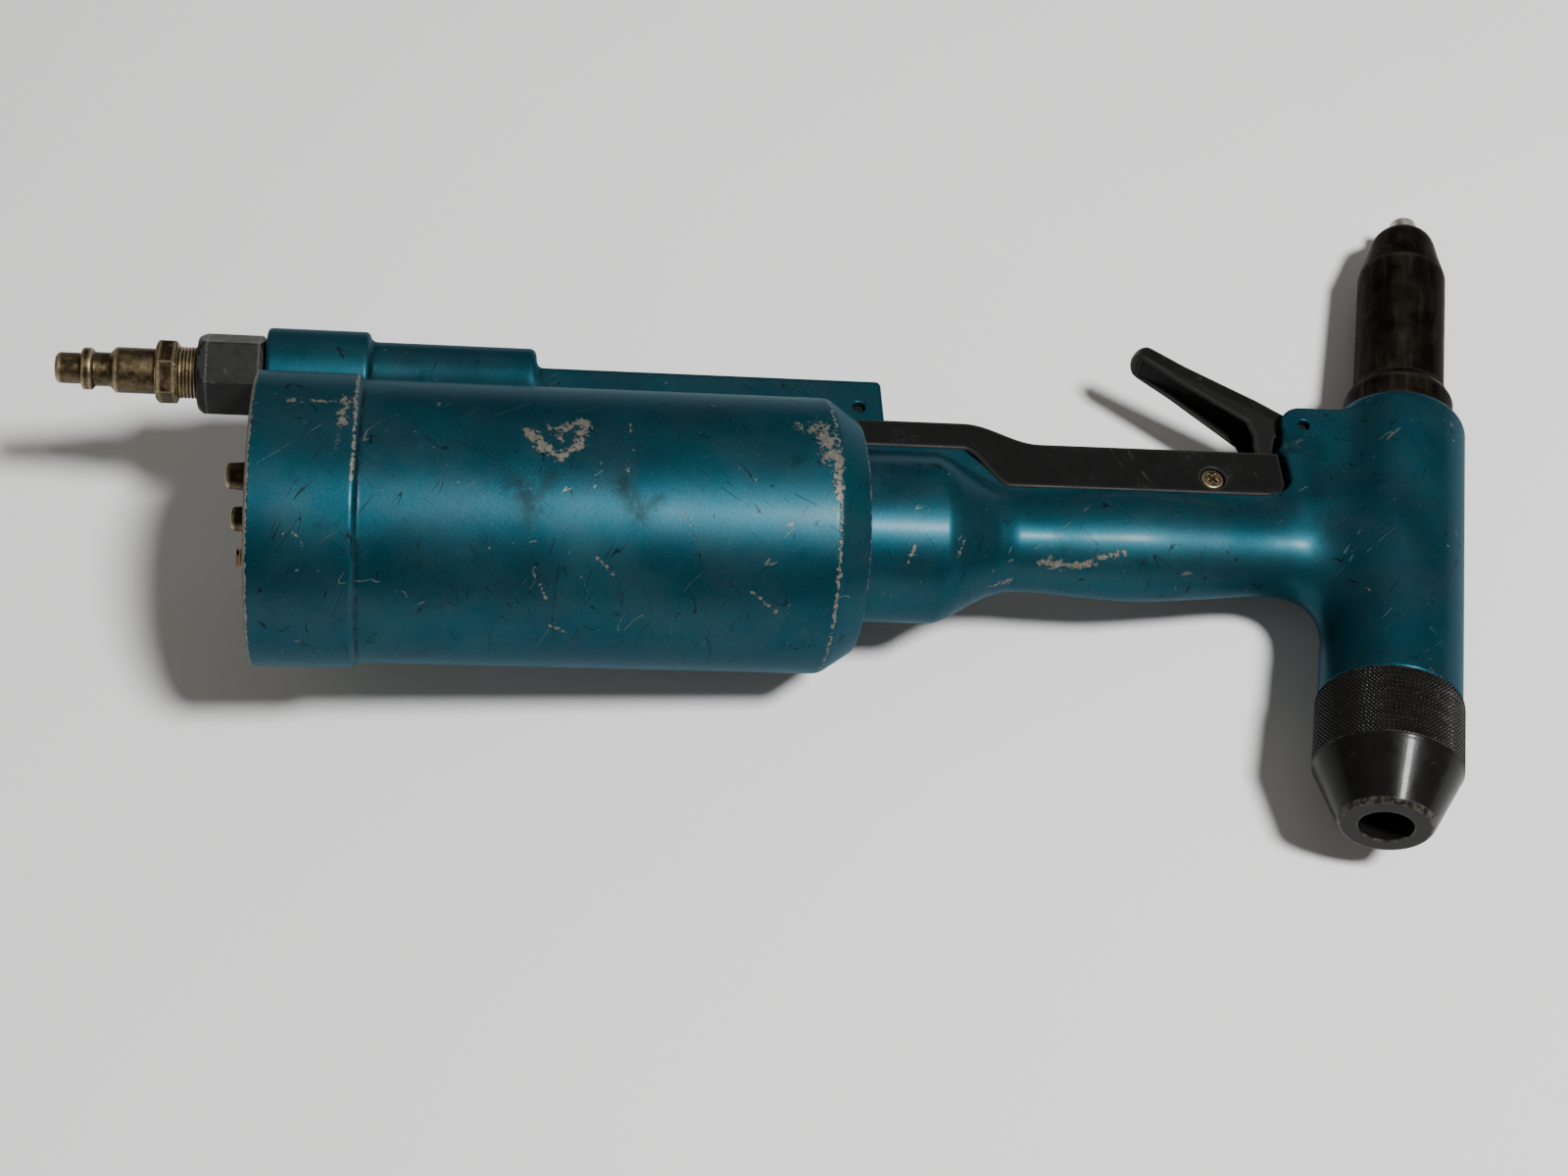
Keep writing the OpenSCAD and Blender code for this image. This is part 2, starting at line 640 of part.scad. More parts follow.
module cover_screws() {
    color(brass) row() for (side = [0, 1]) mirror([0, 0, side]) translate([screw_x, screw_y, 0]) {
        translate([0, 0, 2.6]) cylinder(h = 6.6, r = cover_screw_r - 0.02, $fn = mid);
        translate([0, 0, cover_w / 2 - 1.05]) difference() {
            cylinder(h = 0.9, r = 3, $fn = mid);
            for (turn = [45, 135]) rotate([0, 0, turn])
                translate([-1.6, -0.35, 0.35]) cube([3.2, 0.7, 1]);
        }
    }
}
// A slot that a pin moves up or down in, with its rest place at p
module pin_slot(p, r, rise) {
    low = min(0, rise) - 0.3;
    high = max(0, rise) + 0.3;
    half = r - 0.01;
    translate([p[0] - half, p[1] + low]) square([2 * half, high - low]);
    for (end = [low, high]) translate([p[0], p[1] + end]) circle(r, $fn = mid);
}
module pull_link() {
    pin_at = [trigger_x + arm_x, trigger_y + arm_y];
    far_at = [rocker_x, rocker_y - rocker_arm];
    slot_r = link_pin_r + 0.35;
    far_r = rocker_link_pin_r + 0.35;
    color(steel) row() plate(link_w) difference() {
        union() {
            polygon([[far_at[0], 28.8], [far_at[0], 25.3], [176, 25.3], [188.5, 18.8], [pin_at[0], 18.8],
                [pin_at[0], 22.4], [189.5, 22.4], [177, 28.8]]);
            translate([pin_at[0] - slot_r - 1.5, pin_at[1] - link_drop - slot_r - 1.6])
                square([2 * slot_r + 3, link_drop + 2 * slot_r + 3.2]);
            translate([far_at[0] - far_r - 1.2, far_at[1] - far_r - 1.5])
                square([2 * far_r + 2.4, rocker_rise + 2 * far_r + 3]);
        }
        pin_slot(pin_at, slot_r, -link_drop);
        pin_slot(far_at, far_r, rocker_rise);
    }
}
module trigger() {
    color(black) row() difference() {
        plate(trigger_w) trigger_outline();
        // the blade is narrower than the root
        for (side = [0, 1]) mirror([0, 0, side]) translate([200, 36, trigger_w / 2 - 0.8]) cube([56, 40, 5]);
        // fork that straddles the link
        translate([250, 10, -link_w / 2 - 0.4]) cube([21.5, 21, link_w + 0.8]);
        pin(trigger_pin_r + run, trigger_x, trigger_y, 30);
        pin(link_pin_r, trigger_x + arm_x, trigger_y + arm_y, 30);
    }
}
module trigger_outline() {
    tip = [237.6, 63.9];
    r = trigger_tip_t / 2;
    inside = r - 0.05;
    link_pin = [trigger_x + arm_x, trigger_y + arm_y];
    polygon([tip - inside * [0.66, 0.75], [262.6, 38.8], [263.6, 34.5], [263.2, 31], link_pin - [2.7, 0],
        link_pin + [2.7, 0], [268.4, 30], [269.6, 33.4], [272.6, 32.6], [trigger_x + 3, trigger_y - 3],
        [trigger_x + 3, trigger_y + 3], [273, 42.2], tip + inside * [0.579, 0.815]]);
    translate(tip) circle(r, $fn = mid);
    translate([trigger_x, trigger_y]) circle(4.8, $fn = mid);
    translate(link_pin) circle(2.9, $fn = mid);
}
module trigger_pin() {
    color(steel) row() pin(trigger_pin_r - 0.01, trigger_x, trigger_y, 16);
}
module trigger_link_pin() {
    color(steel) row() pin(link_pin_r - 0.01, trigger_x + arm_x, trigger_y + arm_y, trigger_w - 0.6);
}
module rocker() {
    nose_at = [rocker_x - 1, stem_y];
    color(steel) row() difference() {
        plate(rocker_w) {
            translate([rocker_x, rocker_y]) circle(2.6, $fn = mid);
            translate([rocker_x, rocker_y - rocker_arm]) circle(2.3, $fn = mid);
            translate([rocker_x - 2.1, rocker_y - rocker_arm]) square([4.2, rocker_arm]);
            translate([nose_at[0] - 1.6, rocker_y]) square([4, nose_at[1] - rocker_y]);
            translate(nose_at) circle(2.2, $fn = mid);
        }
        // room for the link between the two cheeks
        translate([rocker_x - 5, rocker_y - rocker_arm - 5, -link_w / 2 - gap])
            cube([10, rocker_arm + 2, link_w + 2 * gap]);
        pin(rocker_pin_r + run, rocker_x, rocker_y, 20);
        pin(rocker_link_pin_r, rocker_x, rocker_y - rocker_arm, 20);
    }
}
module rocker_pin() {
    color(steel) row() pin(rocker_pin_r - 0.01, rocker_x, rocker_y, 13);
}
module rocker_link_pin() {
    color(steel) row() pin(rocker_link_pin_r - 0.01, rocker_x, rocker_y - rocker_arm, rocker_w - 0.4);
}

air_cylinder();
base_plate();
base_seal();
retaining_ring();
silencers();
base_screw();
handle();
handle_nut();
piston_bumper();
ram_gland();
ram_seal();
oil_screw();
air_piston();
piston_seal();
ram_rod();
ram_nut();
end_cap();
cap_seal();
return_spring();
rod_seal();
nose_collar();
nose_housing();
nosepiece();
pull_piston();
pull_seal();
ejection_tube();
jaw_case();
jaws();
jaw_pusher();
jaw_spring();
inlet_nut();
air_plug();
valve_bush();
valve_seat();
valve_spring();
valve_stem();
valve_seals();
stem_gland();
cover();
cover_screws();
pull_link();
trigger();
trigger_pin();
trigger_link_pin();
rocker();
rocker_pin();
rocker_link_pin();
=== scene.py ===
"""Air-over-oil blind rivet gun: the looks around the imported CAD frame.

Shapes are worked out in millimetres in the handle frame: x along the air cylinder and the grip from the
cylinder's open end, y towards the nose, z out of the middle plane. In the pulling head, s runs along the
head's axis. Castings and mouldings are signed distance fields, meshed by a surface net; round pieces are
turned.
"""
import json
import math
from collections import namedtuple

import bmesh
import bpy
import numpy as np
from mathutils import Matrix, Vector


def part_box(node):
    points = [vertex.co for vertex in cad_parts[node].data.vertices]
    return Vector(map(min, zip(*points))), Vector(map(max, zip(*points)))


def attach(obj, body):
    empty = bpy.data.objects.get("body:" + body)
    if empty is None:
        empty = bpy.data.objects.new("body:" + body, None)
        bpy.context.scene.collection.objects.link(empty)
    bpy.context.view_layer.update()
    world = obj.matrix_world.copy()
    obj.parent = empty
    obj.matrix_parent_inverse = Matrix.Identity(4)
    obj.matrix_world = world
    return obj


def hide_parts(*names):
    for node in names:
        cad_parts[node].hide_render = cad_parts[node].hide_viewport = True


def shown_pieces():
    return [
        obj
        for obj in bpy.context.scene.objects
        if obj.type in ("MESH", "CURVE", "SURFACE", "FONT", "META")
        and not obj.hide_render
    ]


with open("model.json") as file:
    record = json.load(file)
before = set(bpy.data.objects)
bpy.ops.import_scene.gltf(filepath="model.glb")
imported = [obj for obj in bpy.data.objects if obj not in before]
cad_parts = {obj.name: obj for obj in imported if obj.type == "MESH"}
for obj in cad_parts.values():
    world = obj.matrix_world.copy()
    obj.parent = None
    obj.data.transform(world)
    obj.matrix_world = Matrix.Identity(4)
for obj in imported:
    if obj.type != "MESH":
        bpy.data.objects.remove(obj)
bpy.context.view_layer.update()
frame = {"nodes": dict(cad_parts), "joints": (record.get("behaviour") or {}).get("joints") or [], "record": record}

MM = 0.001

# ---- Places, from the frame ----
joints = {joint["name"]: joint for joint in frame["joints"]}
base_low, base_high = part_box("base_plate")
OPEN_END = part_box("air_cylinder")[0].x
ORIGIN = np.array([OPEN_END, (base_low.y + base_high.y) / 2, 0.0])
HEAD_AXIS = -np.array(joints["pull_slide"]["axis"])
HEAD_SIDE = np.array([HEAD_AXIS[1], -HEAD_AXIS[0], 0.0])
NOSE_TIP_S = -ORIGIN[1] / HEAD_AXIS[1] / MM
HEAD_X = (-ORIGIN[0] - NOSE_TIP_S * MM * HEAD_AXIS[0]) / MM
TRIGGER_PIVOT = (np.array(joints["trigger_hinge"]["pos_m"]) - ORIGIN) / MM
ROCKER_PIVOT = (np.array(joints["rocker_hinge"]["pos_m"]) - ORIGIN) / MM

# ---- Sizes, in mm ----
SKIRT_R, SKIRT_END, SKIRT_ROUND = 36.8, 25.8, 1.5
SHELL_R, SHELL_END = 35.5, 142.7
CYLINDER_END, FRONT_R, CONE_SLANT = 151.1, 29.8, 10.15
BORE_R, FRONT_WALL, SPIGOT_R = 31.0, 136.0, 16.05
INLET_Y, BOSS_R, BOSS_END = 45.6, 12.5, 25.0
VALVE_BODY_R, VALVE_BODY_END = 10.0, 67.5
FOOT_START, FOOT_LOW, FOOT_HALF = 0.4, 27.0, 8.6
BAR_START, BAR_LOW, BAR_TOP, BAR_HALF, BAR_END = 40.0, 30.0, 46.7, 8.0, 161.3
INLET_BORE_R, VALVE_BORE_R, GLAND_BORE_R, STEM_HOLE_R = 8.6, 5.6, 3.4, 2.5
STEM_Y, SLOT_START, SLOT_HALF = 41.5, 147.7, 4.6
SLOT_LOW, SLOT_TOP = 30.6, 44.6
NECK_R, BARREL_R, BARREL_FRONT, BARREL_BACK = 21.8, 18.2, 44.2, -49.1
PULL_BORE_R, ROD_BORE_R, WALL_START, WALL_END = 14.05, 8.7, 6.0, 22.0
SHOULDER_HALF, EAR_HALF, FORK_HALF, EAR_R = 10.8, 10.0, 6.5, 6.2
OIL_BORE_R, OIL_BORE_END, RAIL_HALF, RAIL_TOP = 6.1, 275.0, 7.6, 18.2
COVER_HALF, COVER_START, COVER_END = 10.0, 152.0, 267.8
COVER_LOW_NECK, COVER_LOW_GRIP, COVER_TOP_NECK, COVER_TOP_GRIP = 22.6, 10.8, 31.4, 25.3
COVER_WALL, COVER_SEAT_ROOM = 2.0, 0.35
TRIGGER_TIP, TRIGGER_TIP_R, TRIGGER_EYE_R = np.array([237.6, 63.9]), 2.4, 4.8
TRIGGER_ALONG = np.array([0.826, -0.564])
LINK_ARM, LINK_EYE_R = np.array([-10.5, -12.8]), 2.9
SCREW_X, SCREW_Y, SCREW_R, CROSS_HALF = 247.9, 15.9, 3.0, 1.75
NUT_LEN, NUT_FLATS, PLUG_LEN, PLUG_R = 17.0, 19.0, 35.8, 5.9
CAP_END, CAP_R, CAP_FACE_R, EJECTION_R = -85.1, 18.8, 12.0, 6.8
HOUSING_R, TAPER_S = 12.4, 101.0
PIN_R = 1.5

# Radius of the grip along x: neck, throat, swell and waist, then on into the barrel
GRIP = [(126, NECK_R), (171.8, NECK_R), (175, 20.9), (179, 18.7), (183.6, 16.1), (188, 14.1), (193, 13.0),
        (199, 12.95), (212, 13.9), (226, 14.6), (245, 13.5), (262, 12.3), (276, 12.6), (290, 13)]
# Radius of the nose along s: a cone with a rounded end
NOSE = [(TAPER_S, HOUSING_R), (109, 10.4), (115, 8.95), (116.7, 8.1), (118.2, 6.6), (119.6, 5.15),
        (120.4, 4.4)]
# Cell size of each casting's or moulding's mesh
CASTING_CELL, COVER_CELL, TRIGGER_CELL, SCREW_CELL = 0.62, 0.42, 0.34, 0.13


# ---- Signed distance fields ----
def smooth_min(a, b, k):
    h = np.clip(0.5 + 0.5 * (b - a) / k, 0, 1)
    return b + (a - b) * h - k * h * (1 - h)


def smooth_max(a, b, k):
    return -smooth_min(-a, -b, k)


def rounded(a, b, edge):
    """Both a and b at or under zero, with a true round edge between them."""
    u, v = a + edge, b + edge
    return np.minimum(np.maximum(u, v), 0) + np.hypot(np.maximum(u, 0), np.maximum(v, 0)) - edge


def span(t, low, high):
    return np.abs(t - (low + high) / 2) - (high - low) / 2


def rod(x, y, z, r, low, high, at_y=0.0, edge=0.0):
    return rounded(np.hypot(y - at_y, z) - r, span(x, low, high), edge)


def outline(points, x, y):
    """Distance to a closed outline in the middle plane, negative inside."""
    x, y = np.broadcast_arrays(x, y)
    best = np.full(x.shape, 1e9)
    inside = np.zeros(x.shape, bool)
    for (ax, ay), (bx, by) in zip(points, points[1:] + points[:1]):
        ex, ey = bx - ax, by - ay
        px, py = x - ax, y - ay
        t = np.clip((px * ex + py * ey) / (ex * ex + ey * ey), 0, 1)
        best = np.minimum(best, np.hypot(px - t * ex, py - t * ey))
        if ay != by:
            inside ^= ((ay > y) != (by > y)) & (px < ex * py / ey)
    return np.where(inside, -best, best)


def arc(cx, cy, r, start, end, steps=8):
    turns = np.radians(np.linspace(start, end, steps + 1))
    return [(cx + r * math.cos(t), cy + r * math.sin(t)) for t in turns]


def s_curve(a, b, steps=12):
    ease = [(1 - math.cos(math.pi * i / steps)) / 2 for i in range(steps + 1)]
    return [(a[0] + (b[0] - a[0]) * i / steps, a[1] + (b[1] - a[1]) * e) for i, e in enumerate(ease)]


def curve_through(points, at):
    """A smooth curve through the points, without overshoot at flat stretches."""
    px, py = np.array(points, float).T
    slope = np.diff(py) / np.diff(px)
    both = slope[:-1] * slope[1:]
    inner = np.where(both > 0, 2 * both / np.where(both > 0, slope[:-1] + slope[1:], 1), 0)
    tangent = np.concatenate([[slope[0]], inner, [slope[-1]]])
    i = np.clip(np.searchsorted(px, at) - 1, 0, len(px) - 2)
    width = px[i + 1] - px[i]
    t = np.clip((at - px[i]) / width, 0, 1)
    return ((1 + 2 * t) * (1 - t) ** 2 * py[i] + t * (1 - t) ** 2 * width * tangent[i]
            + t * t * (3 - 2 * t) * py[i + 1] + t * t * (t - 1) * width * tangent[i + 1])


def head_place(x, y, z):
    """Place along the head's axis, and distance from it."""
    s = (x - HEAD_X) * HEAD_AXIS[0] + y * HEAD_AXIS[1]
    side = (x - HEAD_X) * HEAD_SIDE[0] + y * HEAD_SIDE[1]
    return s, np.hypot(side, z)


# ---- The castings ----
def cylinder_field(x, y, z):
    r = np.hypot(y, z)
    cone_drop, cone_len = SHELL_R - FRONT_R, CYLINDER_END - SHELL_END
    cone = ((x - SHELL_END) * cone_drop + (r - SHELL_R) * cone_len) / CONE_SLANT
    shell = smooth_max(smooth_max(r - SHELL_R, cone, 0.8), x - CYLINDER_END, 0.8)
    skirt = smooth_max(r - SKIRT_R, x - SKIRT_END, SKIRT_ROUND)
    d = smooth_min(shell, skirt, 1.0)
    boss = rod(x, y, z, BOSS_R, 0.2, BOSS_END + 1.6, INLET_Y, 1.3)
    body = rod(x, y, z, VALVE_BODY_R, 1, VALVE_BODY_END + 2.2, INLET_Y, 1.8)
    block = smooth_min(boss, body, 2.0)
    foot_side = np.maximum(span(x, FOOT_START, VALVE_BODY_END), span(y, FOOT_LOW, INLET_Y))
    foot = rounded(np.abs(z) - FOOT_HALF, foot_side, 1.0)
    across = rounded(np.abs(z) - BAR_HALF, span(y, BAR_LOW, BAR_TOP), 2.2)
    bar = rounded(across, span(x, BAR_START, BAR_END), 1.3)
    block = smooth_min(smooth_min(block, foot, 1.0), bar, 2.0)
    d = smooth_min(d, block, 2.4)
    d = smooth_max(d, -x, 1.0)
    slot = np.maximum(np.abs(z) - SLOT_HALF, span(y, SLOT_LOW, SLOT_TOP))
    slot = np.maximum(span(x, SLOT_START, 200), slot)
    pin = np.maximum(np.hypot(x - ROCKER_PIVOT[0], y - ROCKER_PIVOT[1]) - PIN_R - 0.1, 25 - y)
    for cut in (rod(x, y, z, BORE_R + 0.1, -9, FRONT_WALL), rod(x, y, z, BORE_R + 1.7, 0.8, 2.8),
                rod(x, y, z, SPIGOT_R + 0.1, 120, 160), rod(x, y, z, INLET_BORE_R, -9, 18, INLET_Y),
                rod(x, y, z, VALVE_BORE_R, 17, 66, STEM_Y), rod(x, y, z, GLAND_BORE_R, 60, 72, STEM_Y),
                rod(x, y, z, STEM_HOLE_R, 70, 152, STEM_Y), slot, pin):
        d = smooth_max(d, -cut, 0.5)
    return d


def cover_points(grown=0.0):
    """The cover's side, grown outwards by a distance: high beside the cylinder, low along the grip."""
    g = grown
    points = [(COVER_START - g, COVER_LOW_NECK - g), (181 - g, COVER_LOW_NECK - g)]
    points += s_curve((181 - g, COVER_LOW_NECK - g), (192.5 - g, COVER_LOW_GRIP - g))[1:]
    points += arc(COVER_END - 4, 14.8, 4 + g, -90, 0)
    points += [(COVER_END + g, COVER_TOP_GRIP + g)]
    points += s_curve((202, COVER_TOP_GRIP + g), (182, COVER_TOP_NECK + g))
    return points + [(COVER_START - g, COVER_TOP_NECK + g)]


def handle_field(x, y, z):
    r = np.hypot(y, z)
    grip = np.maximum((r - curve_through(GRIP, x)) * 0.93, 126.6 - x)
    grip = rounded(grip, x - 292, 1)
    s, head_r = head_place(x, y, z)
    barrel = rounded(head_r - BARREL_R, s - BARREL_FRONT, 3.4)
    barrel = smooth_max(barrel, BARREL_BACK - s, 0.8)
    ear_side = [(TRIGGER_PIVOT[0] - EAR_R, 8)]
    ear_side += [(295, 8), (295, TRIGGER_PIVOT[1] + EAR_R)]
    ear_side += [(TRIGGER_PIVOT[0], TRIGGER_PIVOT[1] + EAR_R)]
    ear_side += arc(TRIGGER_PIVOT[0], TRIGGER_PIVOT[1], EAR_R, 90, 180)[1:]
    ears = rounded(outline(ear_side, x, y), np.abs(z) - EAR_HALF, 0.9)
    seat = [(151.3, 2), (272, 2), (272, 22), (262, 22), (192, 10.6), (180.6, 22.4), (151.3, 22.4)]
    shoulder = rounded(outline(seat, x, y), np.abs(z) - SHOULDER_HALF, 0.8)
    casting = smooth_min(grip, shoulder, 1.6)
    casting = smooth_min(casting, smooth_min(ears, barrel, 5.0), 14.0)
    spigot = np.maximum(r - SPIGOT_R, span(x, 127, 152))
    casting = np.minimum(np.maximum(casting, 151.2 - x), spigot)
    seat_cut = outline(cover_points(COVER_SEAT_ROOM), x, y)
    rail = np.maximum(span(x, 170, COVER_END + 1), np.maximum(np.abs(z) - RAIL_HALF, y - RAIL_TOP))
    casting = smooth_max(casting, -np.maximum(seat_cut, -rail), 0.6)
    fork = np.maximum(np.abs(z) - FORK_HALF, np.maximum(span(x, 258, 279), span(y, 15.5, 60)))
    fork_back = np.maximum(np.abs(z) - FORK_HALF, np.maximum(span(x, 258, 283.5), span(y, 26, 60)))
    screw_hole = np.hypot(x - SCREW_X, y - SCREW_Y) - 1.6
    pin_hole = np.hypot(x - TRIGGER_PIVOT[0], y - TRIGGER_PIVOT[1]) - PIN_R - 0.1
    bore = np.maximum(head_r - PULL_BORE_R, s - WALL_START)
    for cut in (fork, fork_back, bore, np.maximum(head_r - ROD_BORE_R, s - WALL_END),
                np.maximum(head_r - 9.9, np.maximum(WALL_END - s, s - 40)), np.maximum(head_r - 11.1, 34 - s),
                np.maximum(head_r - 11.6, span(s, 10, 14.2)), rod(x, y, z, OIL_BORE_R, 140, OIL_BORE_END),
                rod(x, y, z, 10.1, 120, 148), pin_hole, np.maximum(screw_hole, 2 - np.abs(z))):
        casting = smooth_max(casting, -cut, 0.4)
    return casting


def cover_field(x, y, z):
    body = rounded(outline(cover_points(), x, y), np.abs(z) - COVER_HALF, 0.9)
    inner = [(COVER_START - 2, -5), (COVER_START - 2, 29.4)] + s_curve((181.4, 29.4), (201.4, 23.3))
    inner += [(COVER_END + 2, 23.3), (COVER_END + 2, -5)]
    channel = np.maximum(outline(inner, x, y), np.abs(z) - COVER_HALF + COVER_WALL)
    rocker_slot = np.maximum(span(x, 140, 163.5), np.maximum(span(y, 28, 36), np.abs(z) - SLOT_HALF))
    arm_slot = np.maximum(256 - x, np.maximum(span(y, 20, 30), np.abs(z) - FORK_HALF))
    at_screw = np.hypot(x - SCREW_X, y - SCREW_Y)
    recess = np.maximum(at_screw - 3.35, COVER_HALF - 1.1 - np.abs(z))
    body = smooth_max(body, -channel, 0.3)
    for cut in (rocker_slot, arm_slot, recess, np.maximum(at_screw - 1.75, 2 - np.abs(z))):
        body = smooth_max(body, -cut, 0.4)
    return body


def trigger_field(x, y, z):
    tip, r = TRIGGER_TIP, TRIGGER_TIP_R
    pivot = TRIGGER_PIVOT[:2]
    arm = pivot + LINK_ARM
    inner, outer = tip - [r * 0.66, r * 0.75], tip + [r * 0.579, r * 0.815]
    lever = [tuple(inner), (262.6, 38.8), (263.6, 34.5), (263.2, 31), (arm[0] - 2.8, arm[1]),
             (arm[0] + 2.8, arm[1]), (268.4, 30), (269.6, 33.4), (272.6, 32.6),
             (pivot[0] + 3, pivot[1] - 3), (pivot[0] + 3, pivot[1] + 3), (273, 42.2), tuple(outer)]
    side = outline(lever, x, y)
    for (cx, cy), radius in ((tip, r), (pivot, TRIGGER_EYE_R), (arm, LINK_EYE_R)):
        side = smooth_min(side, np.hypot(x - cx, y - cy) - radius, 0.6)
    along = (x - tip[0]) * TRIGGER_ALONG[0] + (y - tip[1]) * TRIGGER_ALONG[1]
    half = 4.5 + 1.5 * np.clip((along - 12) / 22, 0, 1)
    nose = 4.4 - np.sqrt(np.maximum(4.4 ** 2 - np.minimum(along - 2.1, 0) ** 2, 0.04))
    width = (np.abs(z) - half + np.where(along < 2.1, nose, 0)) * 0.95
    body = rounded(side, width, 0.8)
    across = (y - inner[1]) * TRIGGER_ALONG[0] - (x - inner[0]) * TRIGGER_ALONG[1] + 0.6
    dish = np.maximum(across - 0.75, np.maximum(np.abs(z) - half + 1.2, span(along, 1.5, 60)))
    body = smooth_max(body, -dish, 0.5)
    fork = np.maximum(np.abs(z) - 2.4, np.maximum(span(x, 250, 271.5), span(y, 10, 31)))
    pins = np.minimum(np.hypot(x - pivot[0], y - pivot[1]) - PIN_R - 0.05,
                      np.hypot(x - arm[0], y - arm[1]) - PIN_R)
    return smooth_max(smooth_max(body, -fork, 0.4), -pins, 0.3)


def screw_field(x, y, z):
    """Two cross-head screws, one in each side of the cover."""
    depth = np.abs(z) - COVER_HALF
    u, v = x - SCREW_X, y - SCREW_Y
    r = np.hypot(u, v)
    dome = depth + 0.14 + 0.035 * r * r
    head = smooth_max(smooth_max(r - SCREW_R, dome, 0.5), -1.05 - depth, 0.1)
    shank = np.maximum(r - 1.48, span(depth, -7.4, -0.6))
    a, b = (u + v) / math.sqrt(2), (u - v) / math.sqrt(2)
    wall = 0.42 + 0.25 * (depth + 0.3)
    arms = [np.maximum(np.abs(p) - CROSS_HALF, np.abs(q) - wall) for p, q in ((a, b), (b, a))]
    cross = np.maximum(np.minimum(*arms), -0.75 - depth)
    return smooth_max(np.minimum(head, shank), -cross, 0.12)


# ---- Meshes ----
def surface_net(field, low, high, step):
    """Points and quads of a field's zero surface: one point in each cell that it crosses."""
    axes = [np.arange(a, b + step, step) for a, b in zip(low, high)]
    value = field(axes[0][:, None, None], axes[1][None, :, None], axes[2][None, None, :])
    value = np.ascontiguousarray(np.broadcast_to(value, [len(a) for a in axes]))
    flat = value.ravel()
    stride = np.array([value.shape[1] * value.shape[2], value.shape[2], 1])
    cells, places = [], []
    for axis in range(3):
        here, ahead = [slice(None)] * 3, [slice(None)] * 3
        here[axis], ahead[axis] = slice(0, -1), slice(1, None)
        index = np.argwhere((value[tuple(here)] < 0) != (value[tuple(ahead)] < 0))
        at = index @ stride
        a, b = flat[at], flat[at + stride[axis]]
        place = np.stack([axes[i][index[:, i]] for i in range(3)], 1)
        place[:, axis] += step * a / (a - b)
        u, v = stride[(axis + 1) % 3], stride[(axis + 2) % 3]
        around = at[:, None] - np.array([u + v, v, 0, u])
        around[a > 0] = around[a > 0][:, ::-1]
        cells.append(around)
        places.append(place)
    cells, places = np.concatenate(cells), np.concatenate(places)
    quads = np.unique(cells, return_inverse=True)[1].reshape(-1, 4)
    count = np.bincount(quads.ravel())
    points = [np.bincount(quads.ravel(), np.repeat(places[:, i], 4)) / count for i in range(3)]
    return np.stack(points, 1), quads


def slope(field, points, h):
    steps = np.eye(3) * h
    return np.stack([(field(*(points + s).T) - field(*(points - s).T)) / (2 * h) for s in steps], 1)


def bending(field, points, h):
    """Sum of the surface's curvatures: high on worn outer edges, below zero in creases and corners, where the
    paint gets painted shade and the brass its patina.
    """
    around = sum(field(*(points + s).T) for s in np.concatenate([np.eye(3), -np.eye(3)]) * h)
    return (around - 6 * field(*points.T)) / h ** 2


def cast(field, low, high, step, reach=0.9):
    """A field as a mesh, its points moved onto the surface, with the field's own normals."""
    step = step
    points, quads = surface_net(field, low, high, step)
    for _ in range(2):
        normal = slope(field, points, 0.05)
        move = normal * (field(*points.T) / np.maximum((normal ** 2).sum(1), 0.2))[:, None]
        length = np.maximum(np.linalg.norm(move, axis=1), 1e-9)
        points = points - move * np.minimum(1, 0.5 * step / length)[:, None]
    normal = slope(field, points, 0.12)
    normal /= np.linalg.norm(normal, axis=1)[:, None]
    bend = bending(field, points, reach)
    edge = np.clip((bend - 0.14) / 0.8, 0, 1)
    # Creases and corners: the teal paint darkens these as painted shade
    crease = np.clip((-bend - 0.08) / 0.5, 0, 1)
    return {"points": points, "quads": quads, "normal": normal, "edge": edge, "crease": crease}


def soften(profile, radius):
    """(place, radius, worn) along a profile, its corners rounded off."""
    points = [np.array(p[:2], float) for p in profile]
    area = sum(a[0] * b[1] - a[1] * b[0] for a, b in zip(points, points[1:] + points[:1]))
    result = [(*points[0], 0.0)]
    for before, corner, after in zip(points, points[1:], points[2:]):
        back, ahead = before - corner, after - corner
        size = [np.linalg.norm(back), np.linalg.norm(ahead)]
        turn = (back[1] * ahead[0] - back[0] * ahead[1]) / (size[0] * size[1])
        if abs(turn) < 0.15:
            result.append((*corner, 0.0))
            continue
        cut = min(radius, 0.4 * min(size))
        a, b = corner + back / size[0] * cut, corner + ahead / size[1] * cut
        worn = 1.0 if turn * area > 0 else -1.0
        for t in (0, 0.33, 0.67, 1):
            place = a * (1 - t) ** 2 + 2 * corner * t * (1 - t) + b * t * t
            result.append((*place, worn))
    return result + [(*points[-1], 0.0)]


def divided(profile, step):
    result = [profile[0]]
    for a, b in zip(profile, profile[1:]):
        length = math.hypot(b[0] - a[0], b[1] - a[1])
        count = max(1, math.ceil(length / step))
        for i in range(1, count + 1):
            t = i / count
            worn = b[2] if i == count else (a[2] if a[2] == b[2] and length < 0.8 else 0.0)
            result.append((a[0] + (b[0] - a[0]) * t, a[1] + (b[1] - a[1]) * t, worn))
    return result


